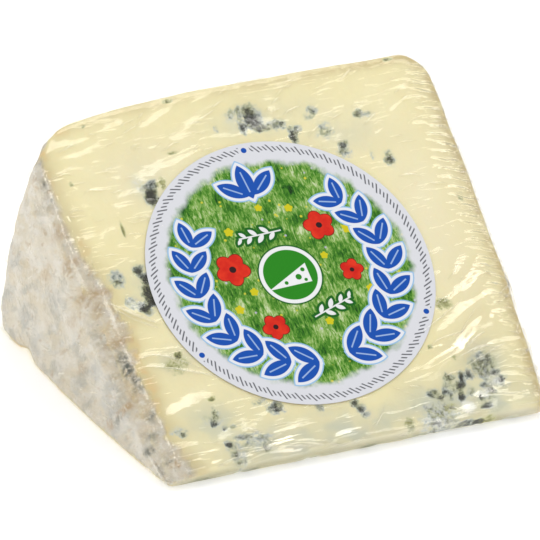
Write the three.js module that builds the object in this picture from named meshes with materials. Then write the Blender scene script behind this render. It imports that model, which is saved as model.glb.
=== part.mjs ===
// A wedge of blue cheese, cut from a round wheel and wrapped tightly in clear film, with a round sticker
// on the film. It lies on one of its two cut faces. Millimetres, +Z up.
//
// The wedge is worked out in the wheel's own frame: X runs along the wheel's axis, the cut edge where the
// two cut faces meet lies on X, and the lower cut face lies in z = 0. A turn about X, from 0 at the lower
// cut face to SECTOR at the upper one, sweeps out the wedge. The group then moves it over its own middle.
import * as THREE from "three";
import { mergeVertices } from "three/addons/utils/BufferGeometryUtils.js";

// The wheel that the wedge is cut from.
const WHEEL_RADIUS = 96.4;
const WHEEL_HEIGHT = 96; // between its two flat ends, at the rim
const DISH = 4.1; // how far each end sinks from the rim to the axis
const SECTOR = THREE.MathUtils.degToRad(35.2); // the angle between the two cuts
const BARREL = 0.4; // how far the rim swells at mid height

// How this wedge has settled. "Old" is the end on -X, where the rind is bloomed, "new" the end on +X.
const OLD_END_SWELL = 2.6;
const NEW_END_SWELL = 1.7;
const SHOULDER_SAG = 3.6; // how far the rim sinks towards the old end
const SHOULDER_START = 5; // from the middle of the wheel's height

// Radii of the edges, as the tight film rounds them.
const NOSE_RADIUS = 2.8; // the cut edge, between the two cut faces
const CUT_EDGE_RADIUS = 2.2; // round each cut face
const SLUMPED_EDGE_RADIUS = 6.5; // the upper cut's edge at the old end, where the cheese has slumped
const SLUMP_ALONG = 34; // where the slump sets in, along the axis to the old end
const SLUMP_OUT = 52; // and how far from the cut edge it begins to die out
const SLUMP_FADE = 13; // over this distance, both ways
const RIM_EDGE_OLD_TOP = 11.7; // between rim and old end, at the upper cut face
const RIM_EDGE_OLD_BASE = 6.5; // the same edge at the lower cut face
const RIM_EDGE_NEW = 7.3; // between rim and new end

// Relief. The rind is lumpy, the cuts are nearly even, and the film dips where mould has left hollows.
const RIND_RELIEF = 0.55;
const CUT_RELIEF = 0.15;
const LUMP_LENGTH = 15; // from one lump of the rind to the next
const RELIEF_FADE = 6; // distance over which relief dies out beside an edge, the sticker or the base
// Hollows in the upper cut face: where along the axis, how far from the cut edge, half width and depth.
const HOLLOWS = [
  { along: -38, out: 51, half: 6, deep: 1.0 },
  { along: -25, out: 80, half: 5, deep: 0.5 },
  { along: 4, out: 87, half: 5, deep: 0.8 },
  { along: 33, out: 17, half: 7, deep: 1.0 },
  { along: 24, out: 11, half: 7, deep: 0.9 },
  { along: -29, out: 17, half: 6, deep: 0.7 },
  { along: -27, out: 10, half: 4, deep: 0.6 },
];

// The round sticker on the upper cut face.
const STICKER_RADIUS = 32.3;
const STICKER_THICKNESS = 0.3;
const STICKER_GAP = 0.3; // between the film and the sticker's back
const STICKER_ALONG = -1.4; // its middle, along the axis
const STICKER_OUT = 48.6; // and from the cut edge, over the upper cut face

// The grid that the wedge's surface is bent from.
const STEPS_ALONG = 32;
const STEPS_OUT = 32;
const STEPS_ROUND = 18;
const SETTLING_STEPS = 12; // repeats that bring each point onto the rounded form
const SLOPE_STEP = 1e-3; // half distance for measuring a slope

const { clamp, lerp, smoothstep } = THREE.MathUtils;

// Unit vectors of the upper cut face, in a plane across the axis: out from the cut edge, and off the face.
const topOut = new THREE.Vector2(Math.cos(SECTOR), Math.sin(SECTOR));
const topNormal = new THREE.Vector2(-Math.sin(SECTOR), Math.cos(SECTOR));
const noseMiddle = new THREE.Vector2(NOSE_RADIUS / Math.tan(SECTOR / 2), NOSE_RADIUS);

// The larger of two heights above two surfaces that meet at a right angle, with a round edge between them.
function roundMax(a, b, radius) {
  if (a <= -radius || b <= -radius) return Math.max(a, b);
  return Math.hypot(a + radius, b + radius) - radius;
}

// Height above the two cut faces and the round nose between them.
function heightOverCuts(y, z) {
  const dy = y - noseMiddle.x;
  const dz = z - noseMiddle.y;
  const beforeNose = dy < 0 && dy * topOut.x + dz * topOut.y < 0;
  if (beforeNose) return Math.hypot(dy, dz) - NOSE_RADIUS;
  return Math.max(-z, y * topNormal.x + z * topNormal.y);
}

// Height above the smooth wedge, negative inside it.
function heightOverWedge(x, y, z) {
  const out = Math.hypot(y, z);
  const share = clamp(Math.atan2(z, Math.max(y, 1e-6)) / SECTOR, 0, 1); // 0 lower cut, 1 upper cut
  const swell = clamp(1 - ((out / WHEEL_RADIUS - 0.5) / 0.55) ** 2, 0, 1);
  const dish = DISH * clamp(1 - out / WHEEL_RADIUS, 0, 1);
  const sag = clamp((-x - SHOULDER_START) / (WHEEL_HEIGHT / 2 - SHOULDER_START), 0, 1) ** 2;
  const barrel = BARREL * (1 - ((2 * x) / WHEEL_HEIGHT) ** 2);
  const overRim = out - WHEEL_RADIUS - barrel + SHOULDER_SAG * sag;
  const old = x < 0;
  const overEnd = Math.abs(x) - WHEEL_HEIGHT / 2 + dish - swell * (old ? OLD_END_SWELL : NEW_END_SWELL);
  const rimEdge = old ? lerp(RIM_EDGE_OLD_BASE, RIM_EDGE_OLD_TOP, share) : RIM_EDGE_NEW;
  const slumpAlong = smoothstep(-x, SLUMP_ALONG, SLUMP_ALONG + SLUMP_FADE);
  const slumpOut = 1 - smoothstep(out, SLUMP_OUT, SLUMP_OUT + SLUMP_FADE);
  const slump = slumpAlong * slumpOut * smoothstep(share, 0.4, 0.9); // on the upper half alone
  const cutEdge = lerp(CUT_EDGE_RADIUS, SLUMPED_EDGE_RADIUS, slump);
  return roundMax(roundMax(overRim, overEnd, rimEdge), heightOverCuts(y, z), cutEdge);
}

// The slope of a height function at a point: for the wedge, the direction straight off its surface.
function slope(height, p) {
  const along = (axis) => {
    const ahead = p.clone();
    const behind = p.clone();
    ahead[axis] += SLOPE_STEP;
    behind[axis] -= SLOPE_STEP;
    return (height(ahead.x, ahead.y, ahead.z) - height(behind.x, behind.y, behind.z)) / (2 * SLOPE_STEP);
  };
  return new THREE.Vector3(along("x"), along("y"), along("z"));
}

// Uneven lumps between about -1 and 1: waves that run in directions spread evenly by the golden angle.
function lumps(p) {
  const waves = 7;
  const goldenAngle = Math.PI * (3 - Math.sqrt(5));
  let sum = 0;
  for (let i = 0; i < waves; i++) {
    const up = 1 - (2 * i + 1) / waves;
    const flat = Math.sqrt(1 - up * up);
    const run = p.x * flat * Math.cos(i * goldenAngle) + p.y * flat * Math.sin(i * goldenAngle) + p.z * up;
    const length = LUMP_LENGTH * (0.7 + 0.1 * i);
    sum += Math.sin((2 * Math.PI * run) / length + i * i);
  }
  return (sum * 1.6) / waves;
}

// How far the surface stands off the smooth wedge at a point on it. The base stays flat.
function relief(p) {
  const overTop = p.y * topNormal.x + p.z * topNormal.y;
  const out = p.y * topOut.x + p.z * topOut.y;
  const clearOfTop = smoothstep(-overTop, 0, RELIEF_FADE);
  const clearOfBase = smoothstep(p.z, 0, RELIEF_FADE);
  const clearOfNose = smoothstep(Math.hypot(p.y, p.z), 4 * NOSE_RADIUS, 4 * NOSE_RADIUS + RELIEF_FADE);
  const fromSticker = Math.hypot(p.x - STICKER_ALONG, out - STICKER_OUT);
  const clearOfSticker = smoothstep(fromSticker, STICKER_RADIUS + 1, STICKER_RADIUS + 1 + RELIEF_FADE);
  const onTop = 1 - clearOfTop;
  const rind = RIND_RELIEF * clearOfTop * clearOfBase;
  const cut = CUT_RELIEF * onTop * clearOfSticker;
  let height = lumps(p) * (rind + cut) * clearOfNose;
  for (const { along, out: middle, half, deep } of HOLLOWS) {
    const share = Math.hypot(p.x - along, out - middle) / half;
    height -= deep * onTop * clearOfSticker * (1 - smoothstep(share, 0, 1));
  }
  return height;
}

// A point of the wedge before its edges are rounded, from shares between 0 and 1: along the axis, out from
// the nose to the rim, and round from the lower cut to the upper one.
function sharpPoint(along, out, round) {
  const towards = (turn) => new THREE.Vector2(Math.cos(turn), Math.sin(turn));
  const nose = towards(-Math.PI / 2 - (Math.PI - SECTOR) * round);
  nose.multiplyScalar(NOSE_RADIUS).add(noseMiddle);
  const rim = towards(SECTOR * round).multiplyScalar(WHEEL_RADIUS);
  const across = nose.lerp(rim, out);
  return new THREE.Vector3((along - 0.5) * WHEEL_HEIGHT, across.x, across.y);
}

// A unit box's grid, bent to the wedge, settled onto its rounded form and given its relief.
function wrappedWedgeGeometry() {
  const box = new THREE.BoxGeometry(1, 1, 1, STEPS_ALONG, STEPS_OUT, STEPS_ROUND);
  box.deleteAttribute("normal");
  box.deleteAttribute("uv");
  const geometry = mergeVertices(box, 1e-5);
  const position = geometry.attributes.position;
  const p = new THREE.Vector3();
  for (let i = 0; i < position.count; i++) {
    p.fromBufferAttribute(position, i).addScalar(0.5);
    p.copy(sharpPoint(p.x, p.y, p.z));
    for (let step = 0; step < SETTLING_STEPS; step++) {
      const off = slope(heightOverWedge, p);
      p.addScaledVector(off, -heightOverWedge(p.x, p.y, p.z) / off.lengthSq());
    }
    const off = slope(heightOverWedge, p).normalize();
    p.addScaledVector(off, relief(p));
    position.setXYZ(i, p.x, p.y, Math.max(p.z, 0));
  }
  geometry.computeVertexNormals();
  return geometry;
}

function wrappedWedge() {
  const material = new THREE.MeshStandardMaterial({ color: 0xefe6ba, roughness: 0.35, metalness: 0 });
  const mesh = new THREE.Mesh(wrappedWedgeGeometry(), material);
  mesh.name = "wrapped_cheese";
  return mesh;
}

// A thin disc that lies on the upper cut face. A cylinder stands on +Y, which turns to point off the face.
function sticker() {
  const sides = 72;
  const geometry = new THREE.CylinderGeometry(STICKER_RADIUS, STICKER_RADIUS, STICKER_THICKNESS, sides);
  const material = new THREE.MeshStandardMaterial({ color: 0x6fa45f, roughness: 0.5, metalness: 0 });
  const mesh = new THREE.Mesh(geometry, material);
  const lift = STICKER_GAP + STICKER_THICKNESS / 2;
  mesh.name = "label";
  mesh.rotation.x = SECTOR + Math.PI / 2;
  mesh.position.set(
    STICKER_ALONG,
    STICKER_OUT * topOut.x + lift * topNormal.x,
    STICKER_OUT * topOut.y + lift * topNormal.y,
  );
  return mesh;
}

const cheese = new THREE.Group();
cheese.add(wrappedWedge(), sticker());

// The origin is on the base, under the middle of the wedge's box.
const middle = new THREE.Box3().setFromObject(cheese).getCenter(new THREE.Vector3());
cheese.position.set(-middle.x, -middle.y, 0);

export default cheese;
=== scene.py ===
# %% [markdown]
# # A wrapped wedge of blue cheese
# A wedge is cut from a wheel of blue cheese, drawn up tight in clear film, and gets a round sticker.
# The imported model holds it as two solids: the wrapped wedge out to the film, and the sticker.
# This script hides both and stands real pieces in their places: the cheese itself with its rind and mould,
# the film with its wrinkles, and the printed sticker. The model's box is kept, and the lights stand round its
# middle.

# %% Load the imported model
import math

import bpy
import numpy as np
from mathutils import Matrix, Vector, noise


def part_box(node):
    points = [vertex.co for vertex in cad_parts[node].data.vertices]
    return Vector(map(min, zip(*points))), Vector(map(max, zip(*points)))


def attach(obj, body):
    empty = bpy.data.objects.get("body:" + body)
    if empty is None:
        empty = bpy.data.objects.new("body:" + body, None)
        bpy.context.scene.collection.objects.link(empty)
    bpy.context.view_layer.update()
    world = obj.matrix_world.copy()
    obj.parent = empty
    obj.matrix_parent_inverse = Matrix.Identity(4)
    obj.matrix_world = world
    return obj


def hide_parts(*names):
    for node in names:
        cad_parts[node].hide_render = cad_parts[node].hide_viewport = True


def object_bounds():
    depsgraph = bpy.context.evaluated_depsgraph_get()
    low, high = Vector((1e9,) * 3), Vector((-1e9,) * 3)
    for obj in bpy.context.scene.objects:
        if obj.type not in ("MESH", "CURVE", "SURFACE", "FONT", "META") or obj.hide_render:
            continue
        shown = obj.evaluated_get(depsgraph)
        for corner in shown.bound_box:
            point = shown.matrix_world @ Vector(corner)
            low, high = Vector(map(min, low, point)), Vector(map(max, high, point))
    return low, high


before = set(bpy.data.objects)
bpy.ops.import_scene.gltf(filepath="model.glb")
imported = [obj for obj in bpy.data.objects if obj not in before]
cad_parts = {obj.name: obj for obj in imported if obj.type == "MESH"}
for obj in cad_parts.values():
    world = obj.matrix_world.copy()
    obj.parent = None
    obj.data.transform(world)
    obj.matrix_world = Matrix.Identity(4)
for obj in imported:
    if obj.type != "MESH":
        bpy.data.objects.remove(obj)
cad_box = [list(corner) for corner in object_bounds()]
print("solids:", ", ".join(sorted(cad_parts)))

# %% [markdown]
# ## The form of the wedge
# The wedge is described in the wheel's own frame, in millimetres: X along the wheel's axis, the thin cut
# edge on X, and the lower cut face in z = 0. A formula gives the height of any point above the rounded
# wedge, so the cheese, the film and every wrinkle can be laid on one and the same form. A formula was
# chosen over a modelled block because its named sizes are those of the solid that it replaces.

# %% Sizes of the wheel and of the wedge
MM = 0.001  # a millimetre in Blender's metres
WHEEL_RADIUS = 96.4
WHEEL_HEIGHT = 96.0  # between the two flat ends, at the rim
DISH = 4.1  # how far each end sinks from the rim to the axis
SECTOR = math.radians(35.2)  # between the two cuts
BARREL = 0.4  # how far the rim swells at mid height
OLD_END_SWELL, NEW_END_SWELL = 2.6, 1.7  # the old end is the bloomed one, on -X
SHOULDER_SAG, SHOULDER_START = 3.6, 5.0  # the rim sinks towards the old end
NOSE_RADIUS = 2.8
CUT_EDGE_RADIUS = 2.2
SLUMPED_EDGE_RADIUS = 6.5  # the upper cut's edge at the old end, where the cheese has slumped
SLUMP_ALONG, SLUMP_OUT, SLUMP_FADE = 34, 52, 13
RIM_EDGE_OLD_TOP, RIM_EDGE_OLD_BASE, RIM_EDGE_NEW = 11.7, 6.5, 7.3
RIND_RELIEF, CUT_RELIEF, LUMP_LENGTH, RELIEF_FADE = 0.55, 0.15, 15.0, 6.0
STICKER_RADIUS, STICKER_ALONG, STICKER_OUT = 32.3, -1.4, 48.6
DENT_OUT, DENT_HALF, DENT_HEIGHT, DENT_DEPTH = 75, 3, 6, 1.3  # in the foot of the old end

top_out = np.array([0.0, math.cos(SECTOR), math.sin(SECTOR)])  # from the cut edge, over the upper cut face
top_normal = np.array([0.0, -math.sin(SECTOR), math.cos(SECTOR)])
nose_middle = np.array([NOSE_RADIUS / math.tan(SECTOR / 2), NOSE_RADIUS])


def smoothstep(value, low, high):
    share = np.clip((value - low) / (high - low), 0.0, 1.0)
    return share * share * (3.0 - 2.0 * share)


# %% Height above the smooth wedge
def round_max(a, b, radius):
    """The larger of two heights above surfaces that meet squarely, with a round edge between them."""
    turned = np.hypot(np.maximum(a + radius, 0.0), np.maximum(b + radius, 0.0)) - radius
    return np.where((a > -radius) & (b > -radius), turned, np.maximum(a, b))


def height_over_cuts(p):
    """Height above the two cut faces and the round nose between them."""
    dy, dz = p[:, 1] - nose_middle[0], p[:, 2] - nose_middle[1]
    before_nose = (dy < 0) & (dy * top_out[1] + dz * top_out[2] < 0)
    return np.where(before_nose, np.hypot(dy, dz) - NOSE_RADIUS, np.maximum(-p[:, 2], p @ top_normal))


def height_over_rind(p):
    """Height above the outside of the wheel: its rim and its two ends."""
    x, out = p[:, 0], np.hypot(p[:, 1], p[:, 2])
    share = np.clip(np.arctan2(p[:, 2], np.maximum(p[:, 1], 1e-6)) / SECTOR, 0.0, 1.0)
    swell = np.clip(1.0 - ((out / WHEEL_RADIUS - 0.5) / 0.55) ** 2, 0.0, 1.0)
    dish = DISH * np.clip(1.0 - out / WHEEL_RADIUS, 0.0, 1.0)
    sag = np.clip((-x - SHOULDER_START) / (WHEEL_HEIGHT / 2 - SHOULDER_START), 0.0, 1.0) ** 2
    over_rim = out - WHEEL_RADIUS - BARREL * (1.0 - (2.0 * x / WHEEL_HEIGHT) ** 2) + SHOULDER_SAG * sag
    old = x < 0
    over_end = np.abs(x) - WHEEL_HEIGHT / 2 + dish - swell * np.where(old, OLD_END_SWELL, NEW_END_SWELL)
    edge_old = RIM_EDGE_OLD_BASE + (RIM_EDGE_OLD_TOP - RIM_EDGE_OLD_BASE) * share
    return round_max(over_rim, over_end, np.where(old, edge_old, RIM_EDGE_NEW))


def height_over_wedge(p):
    share = np.arctan2(p[:, 2], np.maximum(p[:, 1], 1e-6)) / SECTOR
    out = np.hypot(p[:, 1], p[:, 2])
    slump = smoothstep(-p[:, 0], SLUMP_ALONG, SLUMP_ALONG + SLUMP_FADE) * smoothstep(share, 0.4, 0.9)
    slump = slump * (1 - smoothstep(out, SLUMP_OUT, SLUMP_OUT + SLUMP_FADE))
    cut_edge = CUT_EDGE_RADIUS + (SLUMPED_EDGE_RADIUS - CUT_EDGE_RADIUS) * slump
    return round_max(height_over_rind(p), height_over_cuts(p), cut_edge)


def slope(height, p, step=1e-3):
    """The gradient of a height, by small steps. On the wedge it points straight off the surface."""
    sides = []
    for axis in range(3):
        move = np.zeros(3)
        move[axis] = step
        sides.append((height(p + move) - height(p - move)) / (2 * step))
    return np.stack(sides, axis=1)


def settle(p, steps=12):
    """Brings points onto the wedge's surface. Returns them with the directions straight off it."""
    for _ in range(steps):
        off = slope(height_over_wedge, p)
        p = p - off * (height_over_wedge(p) / (off**2).sum(axis=1))[:, None]
    off = slope(height_over_wedge, p)
    return p, off / np.linalg.norm(off, axis=1)[:, None]


# %% Relief that the cheese gives to the film
def lumps(p):
    """Uneven lumps between about -1 and 1: waves in directions spread by the golden angle."""
    waves, golden_angle, total = 7, math.pi * (3 - math.sqrt(5)), 0.0
    for i in range(waves):
        up = 1 - (2 * i + 1) / waves
        flat = math.sqrt(1 - up * up)
        run = p @ np.array([flat * math.cos(i * golden_angle), flat * math.sin(i * golden_angle), up])
        total = total + np.sin(2 * math.pi * run / (LUMP_LENGTH * (0.7 + 0.1 * i)) + i * i)
    return total * 1.6 / waves


# Hollows in the upper cut face: along the axis, out from the cut edge, half width and depth.
HOLLOWS = [
    (-38, 51, 6, 1.0), (-25, 80, 5, 0.5), (4, 87, 5, 0.8), (33, 17, 7, 1.0),
    (24, 11, 7, 0.9), (-29, 17, 6, 0.7), (-27, 10, 4, 0.6),
]


def relief(p):
    """How far the drawn film stands off the smooth wedge, as in the solid. The base stays flat."""
    out = np.hypot(p[:, 1], p[:, 2])
    clear_of_top = smoothstep(-(p @ top_normal), 0, RELIEF_FADE)
    clear_of_base = smoothstep(p[:, 2], 0, RELIEF_FADE)
    clear_of_nose = smoothstep(out, 4 * NOSE_RADIUS, 4 * NOSE_RADIUS + RELIEF_FADE)
    from_sticker = np.hypot(p[:, 0] - STICKER_ALONG, p @ top_out - STICKER_OUT)
    clear_of_sticker = smoothstep(from_sticker, STICKER_RADIUS + 1, STICKER_RADIUS + 1 + RELIEF_FADE)
    rind = RIND_RELIEF * clear_of_top * clear_of_base
    cut = CUT_RELIEF * (1 - clear_of_top) * clear_of_sticker
    height = lumps(p) * (rind + cut) * clear_of_nose
    for along, middle, half, deep in HOLLOWS:
        share = np.hypot(p[:, 0] - along, p @ top_out - middle) / half
        height = height - deep * (1 - clear_of_top) * clear_of_sticker * (1 - smoothstep(share, 0, 1))
    dent = np.exp(-((p[:, 1] - DENT_OUT) / DENT_HALF) ** 2) * (1 - smoothstep(p[:, 2], 1, DENT_HEIGHT))
    return height - DENT_DEPTH * dent * smoothstep(-p[:, 0], 40, 46)


# %% [markdown]
# ## From a box to a wedge
# A fine grid on the skin of a box is bent to the wedge and settled onto it. A bent box keeps its grid even
# on all sides, where a ball or a column of slices would crowd its points at a pole. The middle of the
# finished form's box is then moved over the origin, as the solid's is.

# %% A box's skin as steps and quads
def box_skin(counts):
    """Whole-number grid points on the skin of a box, and the quads between them, facing out."""
    sizes = [count + 1 for count in counts]
    steps = np.indices(sizes).reshape(3, -1).T
    on_skin = ((steps == 0) | (steps == np.array(counts))).any(axis=1)
    number = np.full(len(steps), -1)
    number[on_skin] = np.arange(on_skin.sum())
    number = number.reshape(sizes)
    quads = []
    for axis in range(3):
        for end in (0, -1):
            sheet = np.take(number, end, axis=axis)
            a, b, c, d = sheet[:-1, :-1], sheet[1:, :-1], sheet[1:, 1:], sheet[:-1, 1:]
            facing = (a, b, c, d) if (end == -1) == (axis != 1) else (a, d, c, b)
            quads.append(np.stack(facing, axis=-1).reshape(-1, 4))
    return steps[on_skin], np.concatenate(quads)


def wedge_grid(along, outward, around):
    """Points settled on the wedge, the directions off it, and the quads between the points."""
    steps, quads = box_skin((along, outward, around))
    u, v, w = (steps / np.array([along, outward, around])).T
    turn = -math.pi / 2 - (math.pi - SECTOR) * w
    nose = nose_middle + NOSE_RADIUS * np.stack([np.cos(turn), np.sin(turn)], axis=1)
    rim = WHEEL_RADIUS * np.stack([np.cos(SECTOR * w), np.sin(SECTOR * w)], axis=1)
    across = nose + (rim - nose) * v[:, None]
    points, normals = settle(np.column_stack([(u - 0.5) * WHEEL_HEIGHT, across]))
    return points, normals, quads


# %% Where the wheel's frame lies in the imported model
SOLID_GRID = (32, 32, 18)  # the steps of the solid itself, along the axis, outward and around

points, normals, _ = wedge_grid(*SOLID_GRID)
rough = points + normals * relief(points)[:, None]
model_low, model_high = (np.array(corner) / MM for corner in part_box("wrapped_cheese"))
wheel_origin = (model_low + model_high - rough.min(axis=0) - rough.max(axis=0)) / 2
wheel_origin[2] = 0.0
print("wheel's axis in the model, mm:", wheel_origin.round(2))


def to_model(p):
    return (p + wheel_origin) * MM


def add_object(name, data):
    made = bpy.data.objects.new(name, data)
    bpy.context.collection.objects.link(made)
    return made


def make_piece(name, points, faces):
    """A smooth mesh object from points in the wheel's frame."""
    mesh = bpy.data.meshes.new(name)
    mesh.from_pydata(to_model(points).tolist(), [], faces)
    mesh.update()
    for polygon in mesh.polygons:
        polygon.use_smooth = True
    print(f"{name}: {len(mesh.vertices)} points, {len(mesh.polygons)} faces")
    return add_object(name, mesh)


def give_attributes(piece, **values):
    """Stores numbers at each point, under their names, for the material to read."""
    for name, numbers in values.items():
        layer = piece.data.attributes.new(name, "FLOAT", "POINT")
        layer.data.foreach_set("value", np.asarray(numbers, dtype=np.float32))


# %% [markdown]
# ## Uneven by nature
# Perlin noise gives everything that grew or sagged: curd, rind, mould and film. A small helper reads it at
# each point, at a size in millimetres and, for film, stretched along a heading.

# %% Noise at points
def noise_at(points, size, seed):
    """Smooth random numbers, about -1 to 1, that change over about size millimetres."""
    shift = Vector((17.3, 41.7, 5.9)) * seed
    return np.array([noise.noise(Vector(p) + shift) for p in points / size])


def streaks_at(along, out, heading, length, width, seed):
    """Noise stretched along a heading, in degrees from the wheel's axis over the cut face."""
    turn = math.radians(heading)
    run = along * math.cos(turn) + out * math.sin(turn)
    side = out * math.cos(turn) - along * math.sin(turn)
    return noise_at(np.column_stack([run / length, side / width, np.zeros(len(run))]), 1.0, seed)


# %% [markdown]
# ## Where the mould grows
# Blue mould grows in seams and holes where air got in. Each place on the upper cut face is a soft oval:
# along the axis, out from the cut edge, its half sizes and how strong the growth is. The other cut face
# is never seen whole, so its growth comes from noise. One number for each point holds the result.

# %% Mould on the upper cut face
def on_top_share(p):
    """1 on the upper cut face, fading to 0 round its edges."""
    return 1 - smoothstep(-(p @ top_normal), 1.0, 4.0)


MOULD = {
    "above the sticker": [
        (-1, 88.5, 1.4, 1.2, 0.35), (1, 88, 0.6, 1.6, 0.7), (3.5, 87, 1.6, 2.1, 1),
        (0.5, 85, 0.6, 1.4, 0.9), (4.5, 84, 1.4, 0.9, 0.8), (8.5, 84, 1.3, 1.1, 0.55),
        (9.5, 84, 0.5, 1, 0.8), (11, 81, 0.6, 1.6, 0.9), (12.5, 82, 0.8, 0.7, 0.6),
        (17.5, 86, 0.9, 0.9, 0.5), (16, 84.5, 0.8, 0.6, 0.35), (18.5, 80.5, 1.5, 1.6, 0.4),
        (19.5, 80.5, 0.6, 0.6, 0.6), (21.5, 76.5, 0.9, 0.7, 0.9), (21, 74.5, 1.3, 1, 0.5),
        (27.5, 83, 0.8, 0.8, 0.8), (29, 82.5, 1.4, 0.5, 0.4), (30.5, 71, 0.8, 1.3, 0.8),
        (-5.5, 85.5, 0.4, 0.8, 0.4), (27, 72.5, 0.4, 1, 0.35),
    ],
    "left of the sticker": [
        (-34.5, 56, 1, 0.9, 0.9), (-33.5, 53.5, 1, 1.3, 0.9), (-34, 49.5, 1.3, 2.1, 1),
        (-36, 47, 1.2, 1.3, 1), (-38.5, 49, 1, 1.3, 0.55), (-40, 55, 1.4, 1.5, 0.5),
        (-25.5, 73, 1.1, 1.9, 1.1), (-24.5, 70, 0.5, 0.9, 1), (-24, 75.5, 0.9, 0.8, 0.8),
        (-26.5, 75, 0.8, 0.5, 0.8),
    ],
    "specks": [
        (-34.5, 92, 0.4, 0.3, 0.7), (-42, 79, 0.3, 0.4, 0.55), (-17.5, 82, 0.9, 0.3, 0.5),
        (-14, 94.5, 0.9, 0.4, 0.6), (-34.5, 66, 0.2, 1.3, 0.6), (-33, 34.5, 0.6, 0.6, 0.8),
        (-34, 32.5, 2.1, 1.6, 0.35), (39, 95, 0.9, 0.4, 0.6), (43, 58.5, 0.5, 0.6, 0.45),
        (-22, 75.5, 0.6, 1.1, 0.45), (-29.5, 23, 0.7, 0.35, 0.6), (23, 25, 0.5, 0.3, 0.5),
        (23, 10.5, 0.8, 0.5, 0.85), (12, 8, 0.8, 1.2, 0.5), (30.5, 6, 1, 0.6, 0.5), (30, 34.5, 1.3, 1, 0.5),
        (27.5, 21.5, 0.7, 0.7, 0.35),
    ],
    "by the nose": [
        (-30.5, 17.5, 0.8, 0.7, 0.9), (-29.5, 19.5, 0.6, 1, 0.55), (-28.5, 16, 0.5, 0.5, 0.8),
        (-26.5, 16, 1.2, 0.4, 0.45), (-30.5, 18.5, 1.8, 1.6, 0.3), (-38.5, 16, 0.6, 0.5, 0.9),
        (-39, 17, 1.6, 0.7, 0.35), (-29, 12, 0.8, 0.6, 0.85), (-25, 13, 2.1, 0.5, 0.7),
        (-21, 12, 1.6, 0.5, 0.6), (-21.5, 9.5, 0.7, 1.1, 0.85), (-24.5, 11, 1.9, 0.8, 0.4),
        (-28.5, 9, 0.7, 1.1, 0.7), (-28, 7, 1.1, 0.7, 0.6), (-16, 18, 1.2, 1.2, 0.85),
        (-27.5, 10, 2, 2.6, 0.32), (-22.5, 11, 2.6, 1.6, 0.36), (-19, 20, 1.4, 0.8, 0.4),
        (-6.5, 16, 0.6, 0.8, 0.6), (1.5, 15.5, 0.8, 0.6, 0.8), (2.5, 14, 0.9, 1, 0.8),
        (3, 12.5, 0.8, 0.8, 0.6),
    ],
    "right of the nose": [
        (35, 20.5, 0.7, 0.4, 0.8), (32, 18.5, 0.6, 0.6, 0.7), (35.5, 18, 0.5, 0.7, 0.7),
        (36, 16.5, 0.8, 0.4, 0.9), (36, 14.5, 0.4, 1.3, 1), (34.5, 13.5, 0.4, 0.5, 0.6),
        (34, 18.5, 1.6, 2, 0.5), (27.5, 17, 0.5, 0.9, 1), (29.5, 17, 0.9, 0.8, 0.85), (26.5, 15, 1, 0.7, 1),
        (24.5, 17, 0.9, 0.5, 0.8), (24, 17.5, 0.4, 0.6, 0.7), (32, 14, 0.9, 0.6, 0.8),
        (19.5, 14, 1.3, 0.8, 0.75), (22.5, 14, 0.5, 0.6, 0.9), (21, 13, 0.9, 0.4, 0.9),
        (26, 12.5, 0.5, 0.7, 0.9), (28.5, 13, 0.8, 0.8, 0.5), (30, 11, 0.4, 0.7, 1),
        (30.5, 9, 0.9, 0.6, 0.9), (34.5, 14.5, 1.8, 1.6, 0.6), (33, 12.5, 0.8, 0.7, 0.9),
        (23.5, 13, 0.7, 0.9, 0.5), (19.5, 8.5, 3.4, 3, 0.5), (16, 8, 0.5, 0.5, 0.7),
        (17.5, 7, 0.7, 0.5, 0.7), (17.5, 6, 0.8, 0.4, 0.8), (18, 10.5, 0.4, 0.7, 0.6),
        (28, 6, 1.5, 0.4, 0.95), (25, 6, 2.6, 0.4, 0.75), (20, 6, 2.4, 0.4, 0.6), (14.5, 12, 0.7, 0.7, 0.3),
        (33.5, 18.5, 2.2, 2.4, 0.62), (32, 11.5, 1.4, 1.2, 0.5), (23.5, 14.5, 1.2, 1.6, 0.5),
        (26, 12.5, 0.6, 0.8, 1), (29.5, 18, 0.5, 0.4, 0.9),
    ],
}


# %% Growth of the mould
def ovals_on(p, places, low=0.2, high=2.2):
    """The strongest of some soft ovals over the upper cut face, with wandering edges."""
    wander = 0.55 * noise_at(p, 1.5, 1) + 0.35 * noise_at(p, 0.8, 12)
    growth = np.zeros(len(p))
    for along, out, half_along, half_out, strength in places:
        far = np.hypot((p[:, 0] - along) / half_along, (p @ top_out - out) / half_out)
        growth = np.maximum(growth, strength * (1 - smoothstep(far + wander, low, high)))
    round_nose = 1 - smoothstep(np.hypot(p[:, 1], p[:, 2]), 7.5, 10)
    return growth * np.maximum(on_top_share(p), round_nose)


def mould_on(p):
    """Growth of mould from 0 to 1: ovals on the upper cut, noise on the lower one."""
    growth = ovals_on(p, sum(MOULD.values(), []))
    on_top, on_base = on_top_share(p), 1 - smoothstep(p[:, 2], 0.5, 3.0)
    seams = smoothstep(noise_at(p, 7.0, 2) + 0.5 * noise_at(p, 2.2, 3), 0.42, 0.85)
    by_nose = 1 - smoothstep(np.hypot(p[:, 1], p[:, 2]), 7, 12)
    seams = np.maximum(seams, 0.6 * by_nose * smoothstep(noise_at(p, 5.0, 22), -0.1, 0.5))
    return np.maximum(growth, 0.9 * seams * on_base * (1 - on_top))
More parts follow.
